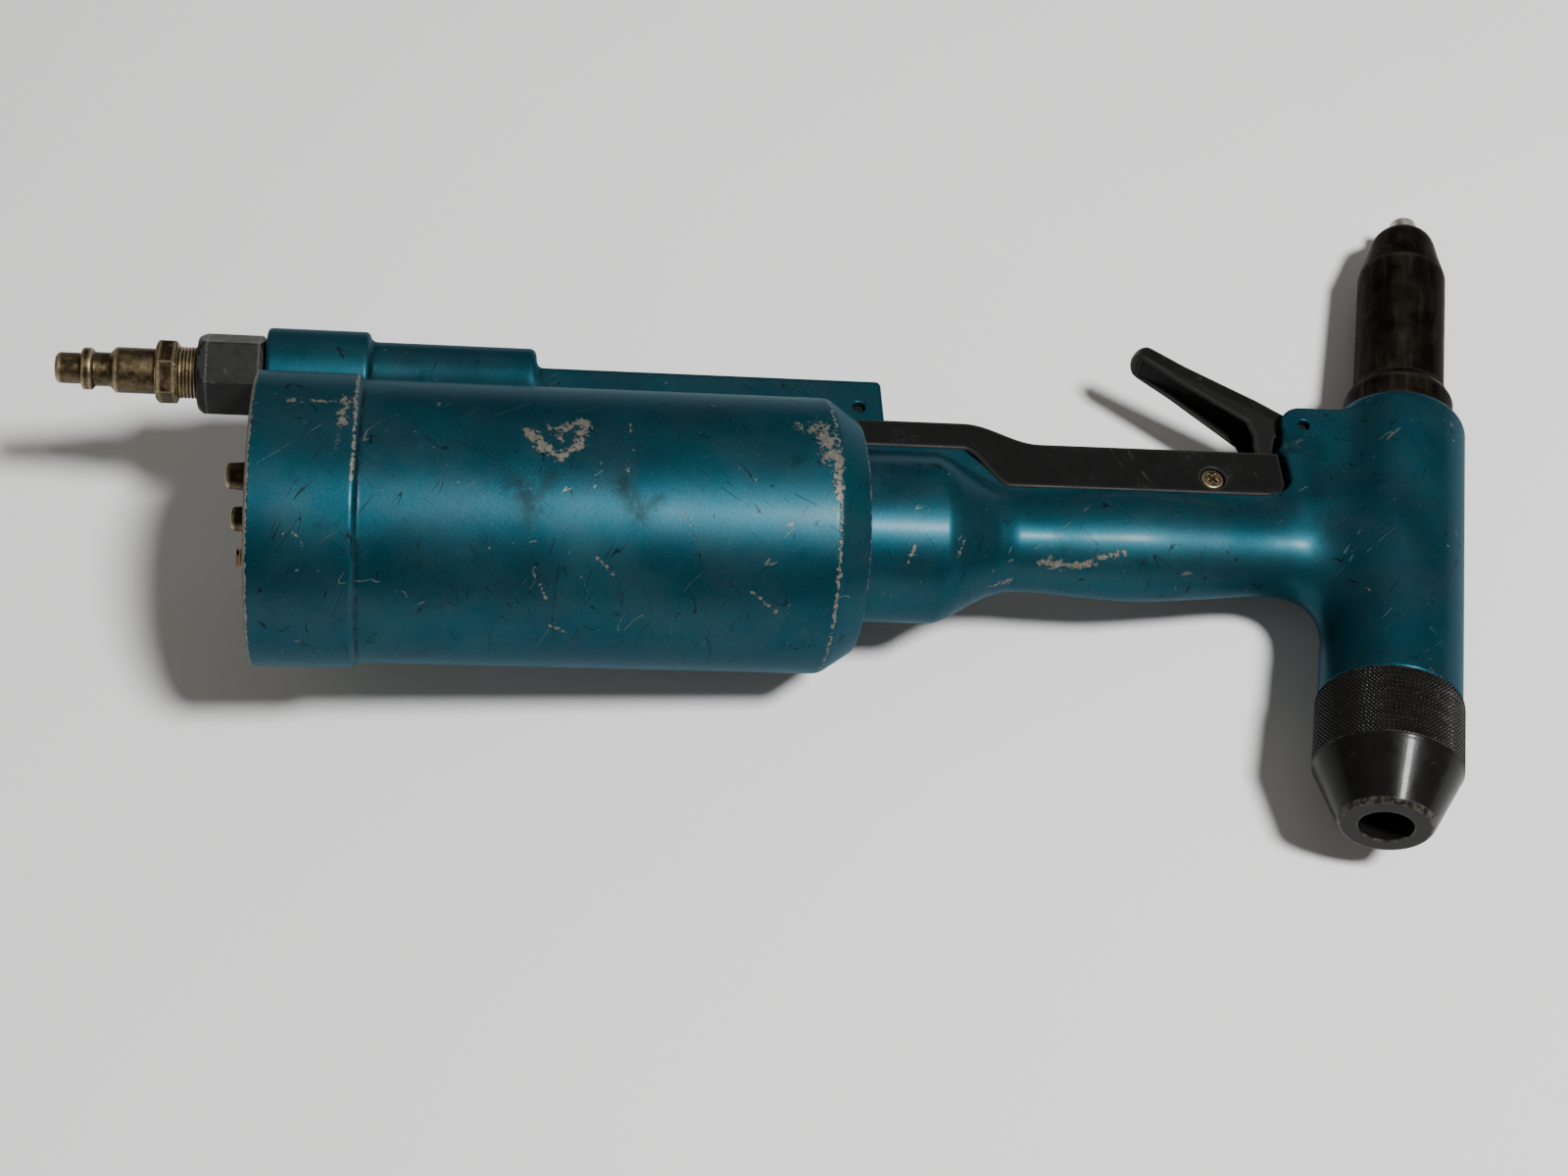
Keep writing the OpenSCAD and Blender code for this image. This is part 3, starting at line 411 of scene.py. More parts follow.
def turned(profile, place, sides=96, shape=None):
    """A profile swept round an axis. place(s, across, up) puts its points in the handle frame."""
    s, r, worn = (np.array(column)[:, None] for column in zip(*profile))
    turn = np.arange(sides)[None, :] * 2 * math.pi / sides
    r, worn = r + 0 * turn, worn + 0 * turn
    if shape:
        r, worn = shape(s, r, turn, worn)
    points = place(s, r * np.cos(turn), r * np.sin(turn)).reshape(-1, 3)
    row = np.arange(len(profile) - 1)[:, None] * sides
    col = np.arange(sides)[None, :]
    nxt = (col + 1) % sides
    quads = np.stack([row + col, row + nxt, row + sides + nxt, row + sides + col], -1).reshape(-1, 4)
    worn = worn.reshape(-1)
    return {"points": points, "quads": quads, "edge": np.clip(worn, 0, 1), "crease": np.clip(-worn, 0, 1)}


def on_head(s, across, up):
    s = s + 0 * across
    return np.stack([HEAD_X + s * HEAD_AXIS[0] + across * HEAD_SIDE[0],
                     s * HEAD_AXIS[1] + across * HEAD_SIDE[1], up], -1)


def on_x(y, z=0.0):
    return lambda s, across, up: np.stack([s + 0 * across, y + across, z + up], -1)


def hexagonal(flats, first, last, turn_by=0.0):
    """Between first and last, the radius is held inside a hexagon."""
    def shape(s, r, turn, worn):
        wedge = (turn - math.radians(turn_by)) % (math.pi / 3) - math.pi / 6
        limit = flats / 2 / np.cos(wedge)
        inside = (s >= first) & (s <= last)
        corner = np.clip(1 - (math.pi / 6 - np.abs(wedge)) / 0.05, 0, 1) * inside * (r > limit - 0.3)
        return np.where(inside, np.minimum(r, limit), r), np.maximum(worn, corner)
    return shape


def piece(name, meshes, nodes, body, finish, marks=()):
    """One object of the visual model, from meshes in the handle frame."""
    starts = np.cumsum([0] + [len(m["points"]) for m in meshes])
    points = np.concatenate([m["points"] for m in meshes])
    quads = np.concatenate([m["quads"] + start for m, start in zip(meshes, starts)])
    mesh = bpy.data.meshes.new(name)
    mesh.vertices.add(len(points))
    mesh.vertices.foreach_set("co", (points * MM + ORIGIN).ravel())
    mesh.loops.add(quads.size)
    mesh.loops.foreach_set("vertex_index", quads.ravel().astype(np.int32))
    mesh.polygons.add(len(quads))
    mesh.polygons.foreach_set("loop_start", np.arange(0, quads.size, 4, dtype=np.int32))
    edge = np.concatenate([m["edge"] for m in meshes])
    crease = np.concatenate([m["crease"] for m in meshes])
    wear, stain = np.zeros(len(points)), np.zeros(len(points))
    for mark in marks:
        along = np.array(mark.end, float) - mark.start
        t = np.clip((points - mark.start) @ along / max(along @ along, 1e-9), 0, 1)
        near = np.linalg.norm(points - mark.start - t[:, None] * along, axis=1) / mark.radius
        wear = np.maximum(wear, mark.much * np.exp(-near ** 2))
        stain = np.maximum(stain, -mark.much * np.exp(-near ** 2))
    crease = np.maximum(crease, stain)
    for label, values in (("edge", edge), ("crease", crease), ("wear", wear)):
        mesh.attributes.new(label, "FLOAT", "POINT").data.foreach_set("value", values)
    mesh.update(calc_edges=True)
    mesh.validate()
    mesh.shade_smooth()
    if "normal" in meshes[0]:
        mesh.normals_split_custom_set_from_vertices(np.concatenate([m["normal"] for m in meshes]).tolist())
    else:
        clean_turned(mesh)
    made = bpy.data.objects.new(name, mesh)
    bpy.context.scene.collection.objects.link(made)
    mesh.materials.append(finish)
    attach(made, body)
    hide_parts(*nodes)
    return made


def clean_turned(mesh):
    """Joins the points that meet on the axis or close a profile, and turns all faces outwards."""
    work = bmesh.new()
    work.from_mesh(mesh)
    bmesh.ops.remove_doubles(work, verts=work.verts, dist=1e-7)
    bmesh.ops.recalc_face_normals(work, faces=work.faces)
    work.to_mesh(mesh)
    work.free()
    mesh.set_sharp_from_angle(angle=math.radians(28))


# ---- Materials ----
class Finish:
    """The node graph of one material. Sizes of patterns are in mm."""

    def __init__(self, name, **fixed):
        self.made = bpy.data.materials.new(name)
        self.made.use_nodes = True
        self.tree = self.made.node_tree
        self.shader = self.tree.nodes["Principled BSDF"]
        for socket, value in fixed.items():
            self.shader.inputs[socket.replace("_", " ")].default_value = value
        self.place = self.tree.nodes.new("ShaderNodeTexCoord").outputs["Object"]

    def node(self, kind, inputs, output=0, **settings):
        made = self.tree.nodes.new(kind)
        for key, value in settings.items():
            setattr(made, key, value)
        for key, value in inputs.items():
            if isinstance(value, bpy.types.NodeSocket):
                self.tree.links.new(value, made.inputs[key])
            else:
                made.inputs[key].default_value = value
        return made.outputs[output]

    def stretched(self, scale, turn=0.0):
        """The place, turned back about z and then scaled: a pattern drawn out along a leaning direction."""
        inputs = {"Vector": self.place, "Rotation": (0, 0, turn), "Scale": [1 / s for s in scale]}
        return self.node("ShaderNodeMapping", inputs, vector_type="TEXTURE")

    def noise(self, size, seed, detail=2.0, rough=0.5, place=None):
        inputs = {"Vector": place or self.place, "W": seed, "Scale": 1 / (size * MM), "Detail": detail,
                  "Roughness": rough}
        return self.node("ShaderNodeTexNoise", inputs, noise_dimensions="4D")

    def grade(self, value, low, high, to_low=0.0, to_high=1.0):
        inputs = {"Value": value, "From Min": low, "From Max": high, "To Min": to_low, "To Max": to_high}
        return self.node("ShaderNodeMapRange", inputs, interpolation_type="SMOOTHSTEP")

    def calc(self, operation, a, b=0.0, clamped=False):
        return self.node("ShaderNodeMath", {0: a, 1: b}, operation=operation, use_clamp=clamped)

    def plus(self, a, b):
        return self.calc("ADD", a, b, clamped=True)

    def minus(self, a, b):
        return self.calc("SUBTRACT", a, b)

    def times(self, a, b):
        return self.calc("MULTIPLY", a, b)

    def larger(self, a, b):
        return self.calc("MAXIMUM", a, b)

    def mix(self, factor, a, b):
        a, b = ((*c, 1) if isinstance(c, tuple) else c for c in (a, b))
        return self.node("ShaderNodeMix", {0: factor, 6: a, 7: b}, 2, data_type="RGBA")

    def blend(self, factor, a, b):
        return self.node("ShaderNodeMix", {0: factor, 2: a, 3: b}, data_type="FLOAT")

    def mark(self, label):
        return self.node("ShaderNodeAttribute", {}, 2, attribute_name=label)

    def bump(self, height, depth):
        return self.node("ShaderNodeBump", {"Height": height, "Distance": depth * MM, "Strength": 1.0})

    def use(self, **sockets):
        for socket, value in sockets.items():
            self.tree.links.new(value, self.shader.inputs[socket.replace("_", " ")])
        return self.made


HEAD_TURN = math.atan2(HEAD_AXIS[0], HEAD_AXIS[1])


def scratches(finish, seed, lean, much=0.54, width=0.005):
    """Short, nearly straight hairlines in patches: narrow bands of a stretched noise."""
    place = finish.stretched((1, 0.12, 0.2), lean)
    level = finish.calc("ABSOLUTE", finish.minus(finish.noise(6, seed, 1, place=place), 0.5))
    line = finish.grade(level, width * 0.3, width, 1.0, 0.0)
    patch = finish.grade(finish.noise(4.5, seed + 3, 2), much, much + 0.06)
    return finish.times(line, patch)


def teal_paint():
    f = Finish("teal_paint", Coat_Weight=0.07, Coat_Roughness=0.23, Specular_IOR_Level=0.10,
               Specular_Tint=(0.15, 0.45, 0.52, 1))
    edge, wear, crease = f.mark("edge"), f.mark("wear"), f.mark("crease")
    broad, ragged = f.noise(22, 1, 3), f.noise(2.6, 2, 5, 0.62)
    flake = f.noise(0.3, 3, 1)
    tone = f.mix(f.grade(broad, 0.35, 0.65), (0.0016, 0.037, 0.056), (0.0028, 0.050, 0.071))
    tone = f.mix(f.grade(flake, 0.5, 0.72, 0, 0.35), tone, (0.012, 0.115, 0.15))
    tone = f.mix(f.grade(f.noise(15, 6, 4, 0.6), 0.30, 0.70, 0.05, 0.17), tone, (0.072, 0.078, 0.080))
    dull = f.times(f.grade(f.noise(9, 5, 4, 0.6), 0.6, 0.72), f.grade(ragged, 0.42, 0.6))
    # Darkening in creases and corners is painted shade, broken up by noise; the crease mark also carries the stain
    # strokes, which are real dark stains
    dirt = f.times(crease, f.grade(ragged, 0.34, 0.56, 0.25, 1))
    grime_and_crease_shade = f.plus(f.times(dull, 0.45), f.times(dirt, 0.75))
    lines = f.larger(scratches(f, 11, 0.9, 0.51), scratches(f, 61, -0.5, 0.52))
    grime_and_crease_shade = f.larger(grime_and_crease_shade, f.times(lines, 0.85))
    # The tone darkens at dull patches, stains and dark hairlines, and in creases as painted shade
    tone = f.mix(grime_and_crease_shade, tone, (0.006, 0.012, 0.013))
    # Paint comes off on edges, at marks from knocks and in a few stray chips
    rub = f.plus(f.times(edge, 0.15), f.times(wear, 0.34))
    flaking = f.times(f.noise(1.25, 4, 6, 0.68), 0.95)
    chipped = f.grade(f.plus(rub, flaking), 0.72, 0.77)
    stray = f.times(f.grade(f.noise(1.3, 8, 3), 0.70, 0.73), f.grade(f.noise(13, 9), 0.55, 0.60))
    light = f.times(scratches(f, 16, 2.2, 0.57, 0.004), 0.6)
    bare = f.larger(chipped, f.larger(stray, light))
    metal = f.mix(f.noise(1.1, 12, 3), (0.06, 0.055, 0.046), (0.22, 0.205, 0.175))
    colour = f.mix(bare, tone, metal)
    rough = f.blend(bare, f.grade(broad, 0.3, 0.7, 0.42, 0.51), 0.55)
    height = f.minus(f.times(f.noise(0.9, 14, 2), 0.2), bare)
    return f.use(Base_Color=colour, Roughness=rough, Metallic=f.blend(bare, 0.74, 0.5),
                 Normal=f.bump(height, 0.06))


def black_plastic():
    f = Finish("black_plastic", Specular_IOR_Level=0.12)
    grain, cloud = f.noise(0.35, 21, 2), f.noise(7, 22, 4, 0.6)
    dust = f.times(f.grade(cloud, 0.5, 0.75, 0, 0.35), f.grade(f.noise(0.7, 23, 2), 0.45, 0.7))
    worn = f.larger(dust, f.times(f.mark("edge"), 0.22))
    worn = f.larger(worn, f.times(scratches(f, 25, 0.4), 0.35))
    colour = f.mix(worn, (0.0045, 0.0045, 0.0045), (0.055, 0.055, 0.05))
    return f.use(Base_Color=colour, Roughness=f.grade(cloud, 0.3, 0.7, 0.40, 0.54),
                 Normal=f.bump(grain, 0.035))


def dark_metal(name, seed, low, high, bare, rough, depth, metallic=0.75):
    """Blackened or oxidised steel with rubbed edges."""
    f = Finish(name, Metallic=metallic, Specular_IOR_Level=0.2)
    cloud, fine = f.noise(5, seed, 4, 0.6), f.noise(0.5, seed + 1, 3)
    colour = f.mix(f.grade(cloud, 0.35, 0.68), low, high)
    rub = f.plus(f.times(f.mark("edge"), 0.42), f.times(f.mark("wear"), 0.4))
    rub = f.grade(f.plus(rub, f.times(fine, 0.5)), 0.56, 0.74)
    rub = f.larger(rub, f.times(scratches(f, seed + 2, 1.1, 0.58), 0.4))
    colour = f.mix(rub, colour, bare)
    return f.use(Base_Color=colour, Roughness=f.grade(cloud, 0.3, 0.7, rough - 0.06, rough + 0.07),
                 Normal=f.bump(fine, depth))


def oxide_steel():
    """Dark oxide with lighter streaks along the head."""
    f = Finish("oxide_steel", Metallic=0.85, Specular_IOR_Level=0.15,
               Specular_Tint=(0.3, 0.28, 0.26, 1))
    along = f.stretched((1, 0.11, 1), -HEAD_TURN)
    streak = f.grade(f.noise(2.2, 31, 4, 0.65, along), 0.46, 0.70)
    cloud, fine = f.noise(6, 32, 4, 0.6), f.noise(0.4, 33, 3)
    colour = f.mix(f.grade(cloud, 0.35, 0.7), (0.012, 0.0095, 0.0075), (0.028, 0.023, 0.018))
    colour = f.mix(f.times(streak, 0.4), colour, (0.085, 0.072, 0.058))
    rub = f.times(f.mark("edge"), f.grade(fine, 0.4, 0.6, 0.2, 0.8))
    colour = f.mix(rub, colour, (0.075, 0.065, 0.055))
    return f.use(Base_Color=colour, Roughness=f.grade(cloud, 0.3, 0.7, 0.27, 0.40), Normal=f.bump(fine, 0.02))


def cap_black():
    f = Finish("cap_black", Specular_IOR_Level=0.08, Coat_Weight=0.05, Coat_Roughness=0.08)
    cloud, fine = f.noise(4, 41, 4, 0.6), f.noise(0.45, 42, 3)
    rub = f.times(f.mark("edge"), f.grade(f.noise(1.6, 43, 3), 0.40, 0.62, 0.05, 0.6))
    rub = f.larger(rub, f.times(scratches(f, 44, 1.9, 0.60), 0.5))
    colour = f.mix(rub, f.mix(cloud, (0.003, 0.003, 0.003), (0.008, 0.0075, 0.007)), (0.075, 0.07, 0.06))
    return f.use(Base_Color=colour, Roughness=f.grade(cloud, 0.3, 0.7, 0.26, 0.36), Normal=f.bump(fine, 0.02))


def bright_metal(name, seed, low, high, rough, depth=0.02, stretch=(1, 1, 1), turn=0.0, metallic=0.95):
    """Machined, drawn or cast metal: cloudy tone, tool marks and dirt."""
    f = Finish(name, Metallic=metallic)
    cloud = f.noise(4.5, seed, 4, 0.6)
    lines = f.noise(0.3, seed + 1, 3, 0.6, f.stretched(stretch, turn))
    dirt = f.grade(f.noise(2.2, seed + 2, 4, 0.62), 0.52, 0.72, 0, 0.6)
    colour = f.mix(f.grade(cloud, 0.35, 0.68), low, high)
    colour = f.mix(f.grade(lines, 0.4, 0.7, 0, 0.35), colour, tuple(min(1, c * 1.5) for c in high))
    colour = f.mix(dirt, colour, tuple(c * 0.3 for c in low))
    return f.use(Base_Color=colour, Roughness=f.grade(lines, 0.3, 0.7, rough - 0.07, rough + 0.10),
                 Normal=f.bump(lines, depth))


def patina_brass(name, seed):
    f = Finish(name, Metallic=0.85)
    cloud, fine = f.noise(3.2, seed, 4, 0.62), f.noise(0.4, seed + 1, 3)
    colour = f.mix(f.grade(cloud, 0.36, 0.66), (0.028, 0.020, 0.010), (0.12, 0.088, 0.046))
    rub = f.times(f.mark("edge"), f.grade(fine, 0.35, 0.6, 0.3, 0.9))
    colour = f.mix(rub, colour, (0.38, 0.30, 0.18))
    colour = f.mix(f.times(f.mark("crease"), 0.8), colour, (0.018, 0.014, 0.010))
    return f.use(Base_Color=colour, Roughness=f.grade(cloud, 0.3, 0.7, 0.33, 0.5), Normal=f.bump(fine, 0.02))


def soft_black():
    f = Finish("rubber", Specular_IOR_Level=0.35)
    grain, cloud = f.noise(0.3, 71, 3), f.noise(3, 72, 3)
    colour = f.mix(cloud, (0.016, 0.016, 0.016), (0.04, 0.039, 0.037))
    return f.use(Base_Color=colour, Roughness=f.grade(grain, 0.3, 0.7, 0.6, 0.8), Normal=f.bump(grain, 0.03))


def floor_card():
    f = Finish("floor_card", Specular_IOR_Level=0.15)
    cloud = f.noise(160, 81, 3)
    colour = f.mix(cloud, (0.80, 0.80, 0.80), (0.84, 0.84, 0.84))
    return f.use(Base_Color=colour, Roughness=f.grade(cloud, 0.3, 0.7, 0.82, 0.9))


FINISHES = {
    "teal_paint": teal_paint(),
    "black_plastic": black_plastic(),
    "black_steel": dark_metal("black_steel", 51, (0.006, 0.006, 0.006), (0.014, 0.014, 0.0135),
                              (0.055, 0.055, 0.05), 0.50, 0.03, 0.12),
    "cap_black": cap_black(),
    "oxide_steel": oxide_steel(),
    "steel": bright_metal("steel", 91, (0.30, 0.29, 0.28), (0.48, 0.47, 0.455), 0.34),
    "tip_steel": bright_metal("tip_steel", 95, (0.36, 0.34, 0.30), (0.62, 0.59, 0.54), 0.42),
    "spring_steel": bright_metal("spring_steel", 99, (0.16, 0.16, 0.165), (0.32, 0.32, 0.33), 0.36),
    "alloy": bright_metal("alloy", 103, (0.42, 0.42, 0.42), (0.62, 0.62, 0.61), 0.42, 0.03),
    "bronze": bright_metal("bronze", 107, (0.36, 0.22, 0.10), (0.58, 0.40, 0.20), 0.38),
    # Near-black finish for the two pins: painted shade of their holes
    "pin_painted_shade": bright_metal("pin_painted_shade", 113, (0.012, 0.012, 0.012), (0.03, 0.03, 0.03), 0.6),
    "brass": bright_metal("brass", 111, (0.40, 0.28, 0.12), (0.66, 0.50, 0.25), 0.36),
    "old_brass": patina_brass("old_brass", 115),
    "dull_brass": patina_brass("dull_brass", 119),
    "rubber": soft_black(),
}

# ---- Marks of use ----
# From start to end in the handle frame; much is 1 for paint knocked off, and below zero for a dark stain
Stroke = namedtuple("Stroke", "start end radius much")


def ring_marks(x, r, radius, much, first=0, last=360, steps=24):
    """Wear along an edge round the cylinder; turns are in degrees from +z towards +y."""
    turns = [math.radians(first + (last - first) * i / steps) for i in range(steps + 1)]
    spots = [(x, r * math.sin(t), r * math.cos(t)) for t in turns]
    return [Stroke(a, b, radius, much) for a, b in zip(spots, spots[1:])]


CYLINDER_MARKS = [
    Stroke((66.5, 2.9, 35.4), (69.3, -1.5, 35.5), 2.4, 1.0),
    Stroke((69.3, -1.5, 35.5), (74, -4.6, 35.2), 2.2, 1.0),
    Stroke((74, -4.6, 35.2), (78.4, -1.0, 35.5), 1.9, 0.95),
    Stroke((78.4, -1.0, 35.5), (80.2, 6.5, 34.9), 2.3, 1.0),
    Stroke((73.6, 3.9, 35.3), (78.8, 6.6, 34.9), 1.9, 1.0),
    Stroke((71, 4.4, 35.2), (74.4, 0.5, 35.5), 1.2, 0.95),
    Stroke((91.3, 6.6, 34.9), (90, -7.6, 34.7), 0.75, 0.95),
    Stroke((64, -12, 33.4), (67.5, -17, 31.2), 3.4, -1.0),
    Stroke((66, -20, 29.3), (72, -9, 34.3), 2.2, -0.7),
    Stroke((89, -11, 33.7), (93, -17.5, 30.9), 2.8, -1.0),
    Stroke((93, -17, 31.2), (98, -14, 32.6), 1.6, -0.8),
    Stroke((138.4, 8.5, 34.5), (141.0, -3, 35.4), 4.2, 0.95),
    Stroke((141.5, -3, 35.4), (142, -12, 33.4), 2.0, 1.0),
    Stroke((132, 8, 34.6), (139, 7, 34.8), 3.2, 0.8),
    Stroke((22.6, 11, 35.0), (22.0, 2, 36.7), 2.2, 0.9),
    Stroke((9, 9.6, 35.5), (20, 9.6, 35.5), 1.6, 0.72),
    Stroke((21.5, 2, 36.7), (21.2, -6, 36.2), 1.2, 0.72),
    Stroke((68, -28.3, 21.4), (71.5, -32, 15.4), 0.8, 0.85),
    Stroke((80, -29.2, 20.2), (82, -31.4, 16.6), 0.7, 0.8),
    Stroke((83, -25.8, 24.4), (87.6, -28.6, 21), 0.9, 0.85),
    Stroke((72, -34.6, 7.9), (77, -35.1, 5.2), 0.8, 0.8),
    Stroke((121.5, -30.6, 18), (128, -33, 13), 0.9, 0.85),
    Stroke((104, -17, 31.2), (107, -22, 27.9), 0.7, 0.75),
    Stroke((46, -10, 34.1), (50, -13, 33), 0.6, 0.7),
    Stroke((12, -24, 27.9), (14, -26, 26), 0.8, 0.8),
    Stroke((17.6, 45, 12.5), (20, 44, 12.4), 0.8, 0.7),
    *ring_marks(0.2, 36.5, 1.1, 1.0),
    *ring_marks(142.4, 35.4, 0.9, 0.85, -130, 130),
    *ring_marks(151.0, 29.5, 0.9, 0.8, -60, 120, 12),
    *ring_marks(25.0, 36.7, 0.8, 0.7, -20, 60, 8),
]
HANDLE_MARKS = [
    Stroke((199, -11, 7.2), (204, -11.6, 6.6), 2.2, 1.0),
    Stroke((206, -11.8, 6.6), (212, -11.4, 7.7), 1.7, 1.0),
    Stroke((213, -10.6, 9.0), (220.5, -9.5, 10.7), 1.4, 0.95),
    Stroke((186, -15.2, 0.6), (192, -12.9, 1.8), 1.3, 0.9),
    Stroke((175, -14.5, 14.6), (176.5, -12, 16.8), 1.0, 0.8),
    Stroke((161.6, -17.6, 12.9), (163.8, -13.7, 17.0), 0.8, 0.9),
    Stroke((172.6, -19, 10.7), (172.6, 8, 20.3), 0.8, 0.45),
    Stroke((311, 36, 16.4), (316.5, 33, 15.2), 1.4, 0.85),
    Stroke((314, 29.5, 16), (318.6, 25.5, 12.5), 1.0, 0.75),
    Stroke((285.6, -5.5, 14.4), (287, -2.5, 14.8), 0.9, 0.85),
    Stroke((281.6, -21, 14.1), (282.6, -24, 14.6), 0.8, 0.8),
    Stroke((306, -8, 16), (307, -14, 16.4), 0.7, 0.75),
    Stroke((294.3, -35, 17.8), (295.5, -37, 17.8), 0.7, 0.8),
    Stroke((230, -7, 12.4), (236, -8, 11.6), 0.6, 0.75),
]


# ---- Pieces ----
def cast_pieces():
    teal, black = FINISHES["teal_paint"], FINISHES["black_plastic"]
    cylinder = cast(cylinder_field, (-1, -38, -38), (163, 60, 38), CASTING_CELL)
    piece("air_cylinder_paint", [cylinder], ["air_cylinder"], "gun", teal, CYLINDER_MARKS)
    handle = cast(handle_field, (126, -54, -23), (328, 48, 23), CASTING_CELL)
    piece("handle_paint", [handle], ["handle"], "gun", teal, HANDLE_MARKS)
    cover = cast(cover_field, (151, 9, -11), (269, 33, 11), COVER_CELL, 0.7)
    piece("cover_moulding", [cover], ["cover"], "gun", black)
    trigger = cast(trigger_field, (234, 18, -7), (283, 67, 7), TRIGGER_CELL, 0.7)
    piece("trigger_moulding", [trigger], ["trigger"], "trigger", black)
    low, high = ((SCREW_X + side * 3.6, SCREW_Y + side * 3.6, side * 10.4) for side in (-1, 1))
    screws = cast(screw_field, low, high, SCREW_CELL, 0.2)
    piece("cross_head_screws", [screws], ["cover_screws"], "gun", FINISHES["old_brass"])


def knurl(first, last, count=104, depth=0.38):
    """Diamonds between two places of a turned profile."""
    pitch = 2 * math.pi * CAP_R / count
    def shape(s, r, turn, worn):
        u = turn / (2 * math.pi) * count
        v = s / pitch
        a, b = ((1 + np.cos(2 * math.pi * (u + k * v))) / 2 for k in (1, -1))
        high = a * b
        on = (s > first) & (s < last) & (r > CAP_R - 0.2)
        deep = np.where(on, depth * (1 - high), 0)
        return r - deep, np.where(on, np.clip(high * 2 - 1.1, 0, 0.8) - 0.8 * (high < 0.1), worn)
    return shape


def head_pieces():
    cap = soften([(-49.15, 14.0), (-49.15, 18.2), (-49.8, CAP_R), (-68.6, CAP_R), (-69.3, 18.35),
                  (-70.2, 18.0), (CAP_END + 0.9, CAP_FACE_R), (CAP_END, 11.2), (CAP_END, EJECTION_R),
                  (-65, EJECTION_R), (-65, 12.75), (-40.2, 12.75), (-40.2, 13.95), (-49.15, 13.95)], 0.35)
    step, sides = ((0.16, 832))
    sleeve = turned(divided(cap, step), on_head, sides, knurl(-68.7, -49.7))
    piece("knurled_end_cap", [sleeve], ["end_cap"], "gun", FINISHES["cap_black"])

    collar = soften([(44.25, HOUSING_R + 0.06), (44.25, 13.9), (45.0, 14.8), (52.4, 14.9), (53.2, 14.5),
                     (55.2, 13.4), (55.6, 13.5), (56.7, 12.85), (56.8, HOUSING_R + 0.06),
                     (44.25, HOUSING_R + 0.06)], 0.25)
    piece("nose_collar_turned", [turned(divided(collar, 1.2), on_head, 128)], ["nose_collar"], "gun",
          FINISHES["oxide_steel"])

    places = np.linspace(TAPER_S, NOSE[-1][0], 26)
    cone = [(s, float(r)) for s, r in zip(places, curve_through(NOSE, places))]
    nose = [(34.2, 9.7), (34.2, 10.9), (44.2, 10.9), (44.3, HOUSING_R), *cone, (NOSE[-1][0], 3.96),
            (115.6, 3.96), (115.6, 5.55), (98.6, 5.55), (98.6, 9.6), (34.2, 9.6)]
    piece("nose_housing_turned", [turned(divided(soften(nose, 0.25), 1.5), on_head, 144)], ["nose_housing"],
          "gun", FINISHES["oxide_steel"])

    tip = [(99.4, 1.75), (99.4, 2.6), (100.6, 5.45), (115.5, 5.45), (115.5, 3.9), (123.9, 3.9), (124.5, 3.3),
           (124.5, 2.3), (123.9, 1.8), (99.4, 1.75)]
    piece("nosepiece_turned", [turned(divided(soften(tip, 0.3), 1.5), on_head, 96)], ["nosepiece"],
          "gun", FINISHES["tip_steel"])


def inlet_pieces():
    nut = [(-NUT_LEN, 6.85), (-NUT_LEN, 9.2), (-16.6, 9.62), (-16.1, 10.1), (-15.4, 10.7), (-14.6, 11.3),
           (-1.4, 11.3), (-0.9, 10.7), (-0.4, 10.0), (0, 9.4), (0, 8.45), (10, 8.45), (10, 2.4), (-6, 2.4),
           (-6, 6.85), (-NUT_LEN, 6.85)]
    nut = turned(divided(soften(nut, 0.25), 0.7), on_x(INLET_Y), 240,
                 hexagonal(NUT_FLATS, -17.5, -0.01, 21.5))
    piece("inlet_nut_turned", [nut], ["inlet_nut"], "gun", FINISHES["black_steel"])

    tip = -NUT_LEN - PLUG_LEN
    hex_end, hex_start = -NUT_LEN - 5, -NUT_LEN - 10.6
    ridges = np.arange(hex_end + 0.7, -NUT_LEN + 1, 0.45)
    thread = [(x, 6.8 - 0.42 * (i % 2)) for i, x in enumerate(ridges)]
    plug = [(tip, 2.6), (tip, 3.3), (tip + 0.8, 4), (tip + 6.2, 4), (tip + 6.8, 5.4), (tip + 9, 5.4),
            (tip + 9.8, 4.4), (tip + 13.6, 4.4), (tip + 15, PLUG_R), (hex_start - 0.1, PLUG_R),
            (hex_start, 7.2), (hex_start + 0.35, 7.8), (hex_start + 0.8, 8.6), (hex_end - 0.8, 8.6),
            (hex_end - 0.35, 7.8), (hex_end, 7.2), (hex_end + 0.05, 6.4), *thread, (-5.2, 6.8), (-5.2, 2.6),
            (tip, 2.6)]
    plug = turned(divided(soften(plug, 0.22), 0.7), on_x(INLET_Y), 240,
                  hexagonal(14.3, hex_start - 0.02, hex_end + 0.02, -10.5))
    piece("air_plug_turned", [plug], ["air_plug"], "gun", FINISHES["old_brass"])


def base_pieces():
    meshes = []
    for y, z in ((5, 10.4), (6.5, -9.5)):
        silencer = [(-5.9, 0), (-5.9, 1.1), (-6.6, 1.5), (-6.6, 2.7), (-6.2, 3.15), (0.2, 3.75), (0.55, 4.1),
                    (2.7, 4.1), (2.9, 3.9), (2.9, 2.95), (10, 2.95), (10, 0)]
        profile = divided(soften(silencer, 0.25), 0.6)
        meshes.append(turned(profile, on_x(y, z), 96, hexagonal(7.6, 0.4, 2.8)))
    piece("sintered_silencers", meshes, ["silencers"], "gun", FINISHES["dull_brass"])
    screw = [(-2.2, 0), (-2.2, 1.9), (-3.4, 2.3), (-3.4, 3.0), (-2.8, 3.6), (2.9, 3.6), (2.9, 2.95),
             (10, 2.95), (10, 0)]
    screw = turned(divided(soften(screw, 0.25), 0.6), on_x(-11.5, -0.9), 96, hexagonal(4.0, -3.39, -2.3))
    piece("base_screw_turned", [screw], ["base_screw"], "gun", FINISHES["brass"])


cast_pieces()
head_pieces()
inlet_pieces()
base_pieces()
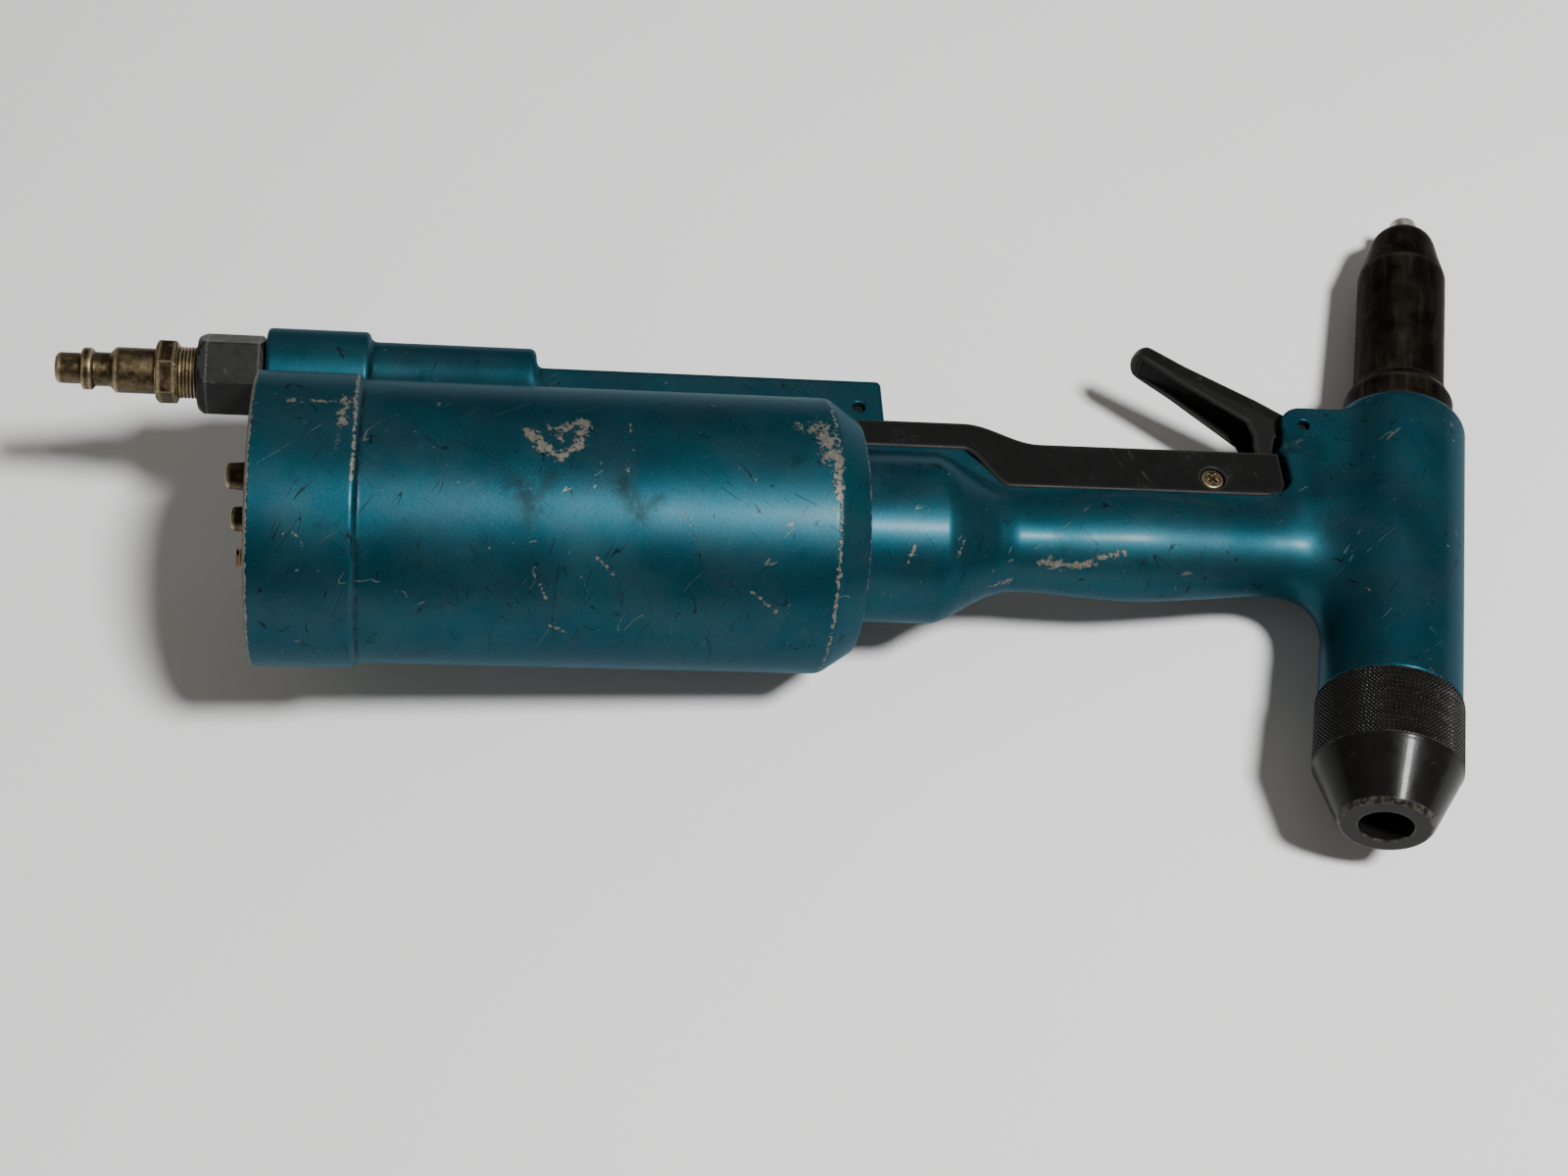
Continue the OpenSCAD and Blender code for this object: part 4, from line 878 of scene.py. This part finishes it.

# CAD pieces that show as they are take their slot's finish; two pins take a near-black finish instead, as painted
# shade of the holes they sit in
DARK_PINS = ("trigger_pin", "rocker_pin")
slot_of = {entry["node"]: entry["material_slot"] for entry in frame["record"]["subparts"]}
for node, made in frame["nodes"].items():
    made.data.materials.clear()
    made.data.materials.append(FINISHES["pin_painted_shade" if node in DARK_PINS else slot_of[node]])

# ---- Floor, light and camera ----
FLOOR_NORMAL, FLOOR_R = Vector((-0.137, -0.037, 0.990)).normalized(), 1.6
LIGHT_FROM, LIGHT_AIM = Vector((0.25, -0.31, 0.90)).normalized(), Vector((-0.17, -0.12, 0))
WORLD_COLOUR, WORLD_STRENGTH = (1, 0.92, 0.80, 1), 0.14
CAMERA_PLACE, CAMERA_TURN = (-0.28106, -0.47026, 0.48386), (34.6117, -7.8226, -3.3720)
SENSOR_WIDTH, LENS = 36, 53.76


def lowest(normal):
    """The least height of the shown object along a direction."""
    least = math.inf
    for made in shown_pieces():
        spots = np.empty(len(made.data.vertices) * 3)
        made.data.vertices.foreach_get("co", spots)
        least = min(least, (spots.reshape(-1, 3) @ np.array(normal)).min())
    return least


def make_floor():
    work = bmesh.new()
    bmesh.ops.create_circle(work, cap_ends=True, segments=96, radius=FLOOR_R)
    mesh = bpy.data.meshes.new("floor")
    work.to_mesh(mesh)
    work.free()
    made = bpy.data.objects.new("floor", mesh)
    made.rotation_mode = "QUATERNION"
    made.rotation_quaternion = FLOOR_NORMAL.to_track_quat("Z", "Y")
    made.location = FLOOR_NORMAL * lowest(FLOOR_NORMAL)
    mesh.materials.append(floor_card())
    bpy.context.scene.collection.objects.link(made)


def area_light(name, towards, distance, size, power, colour=(1, 1, 1)):
    data = bpy.data.lights.new(name, "AREA")
    data.shape, data.size, data.energy, data.color = "DISK", size, power, colour
    made = bpy.data.objects.new(name, data)
    towards = Vector(towards).normalized()
    made.location = LIGHT_AIM + towards * distance
    made.rotation_mode = "QUATERNION"
    made.rotation_quaternion = towards.to_track_quat("Z", "Y")
    bpy.context.scene.collection.objects.link(made)


def make_world():
    world = bpy.data.worlds.new("studio")
    world.use_nodes = True
    sockets = world.node_tree.nodes["Background"].inputs
    sockets["Color"].default_value, sockets["Strength"].default_value = WORLD_COLOUR, WORLD_STRENGTH
    bpy.context.scene.world = world


def make_camera():
    data = bpy.data.cameras.new("camera")
    data.sensor_width, data.lens = SENSOR_WIDTH, LENS
    data.clip_start, data.clip_end = 0.01, 20
    made = bpy.data.objects.new("camera", data)
    made.location = CAMERA_PLACE
    made.rotation_euler = [math.radians(a) for a in CAMERA_TURN]
    bpy.context.scene.collection.objects.link(made)
    bpy.context.scene.camera = made


make_floor()
make_world()
make_camera()
area_light("key", LIGHT_FROM, 1.6, 0.26, 44)
area_light("fill", (-0.9, -0.5, 0.7), 1.8, 1.4, 1.6, (0.95, 0.97, 1))
area_light("top", (0.1, 0.8, 0.9), 1.8, 1.2, 1.5)
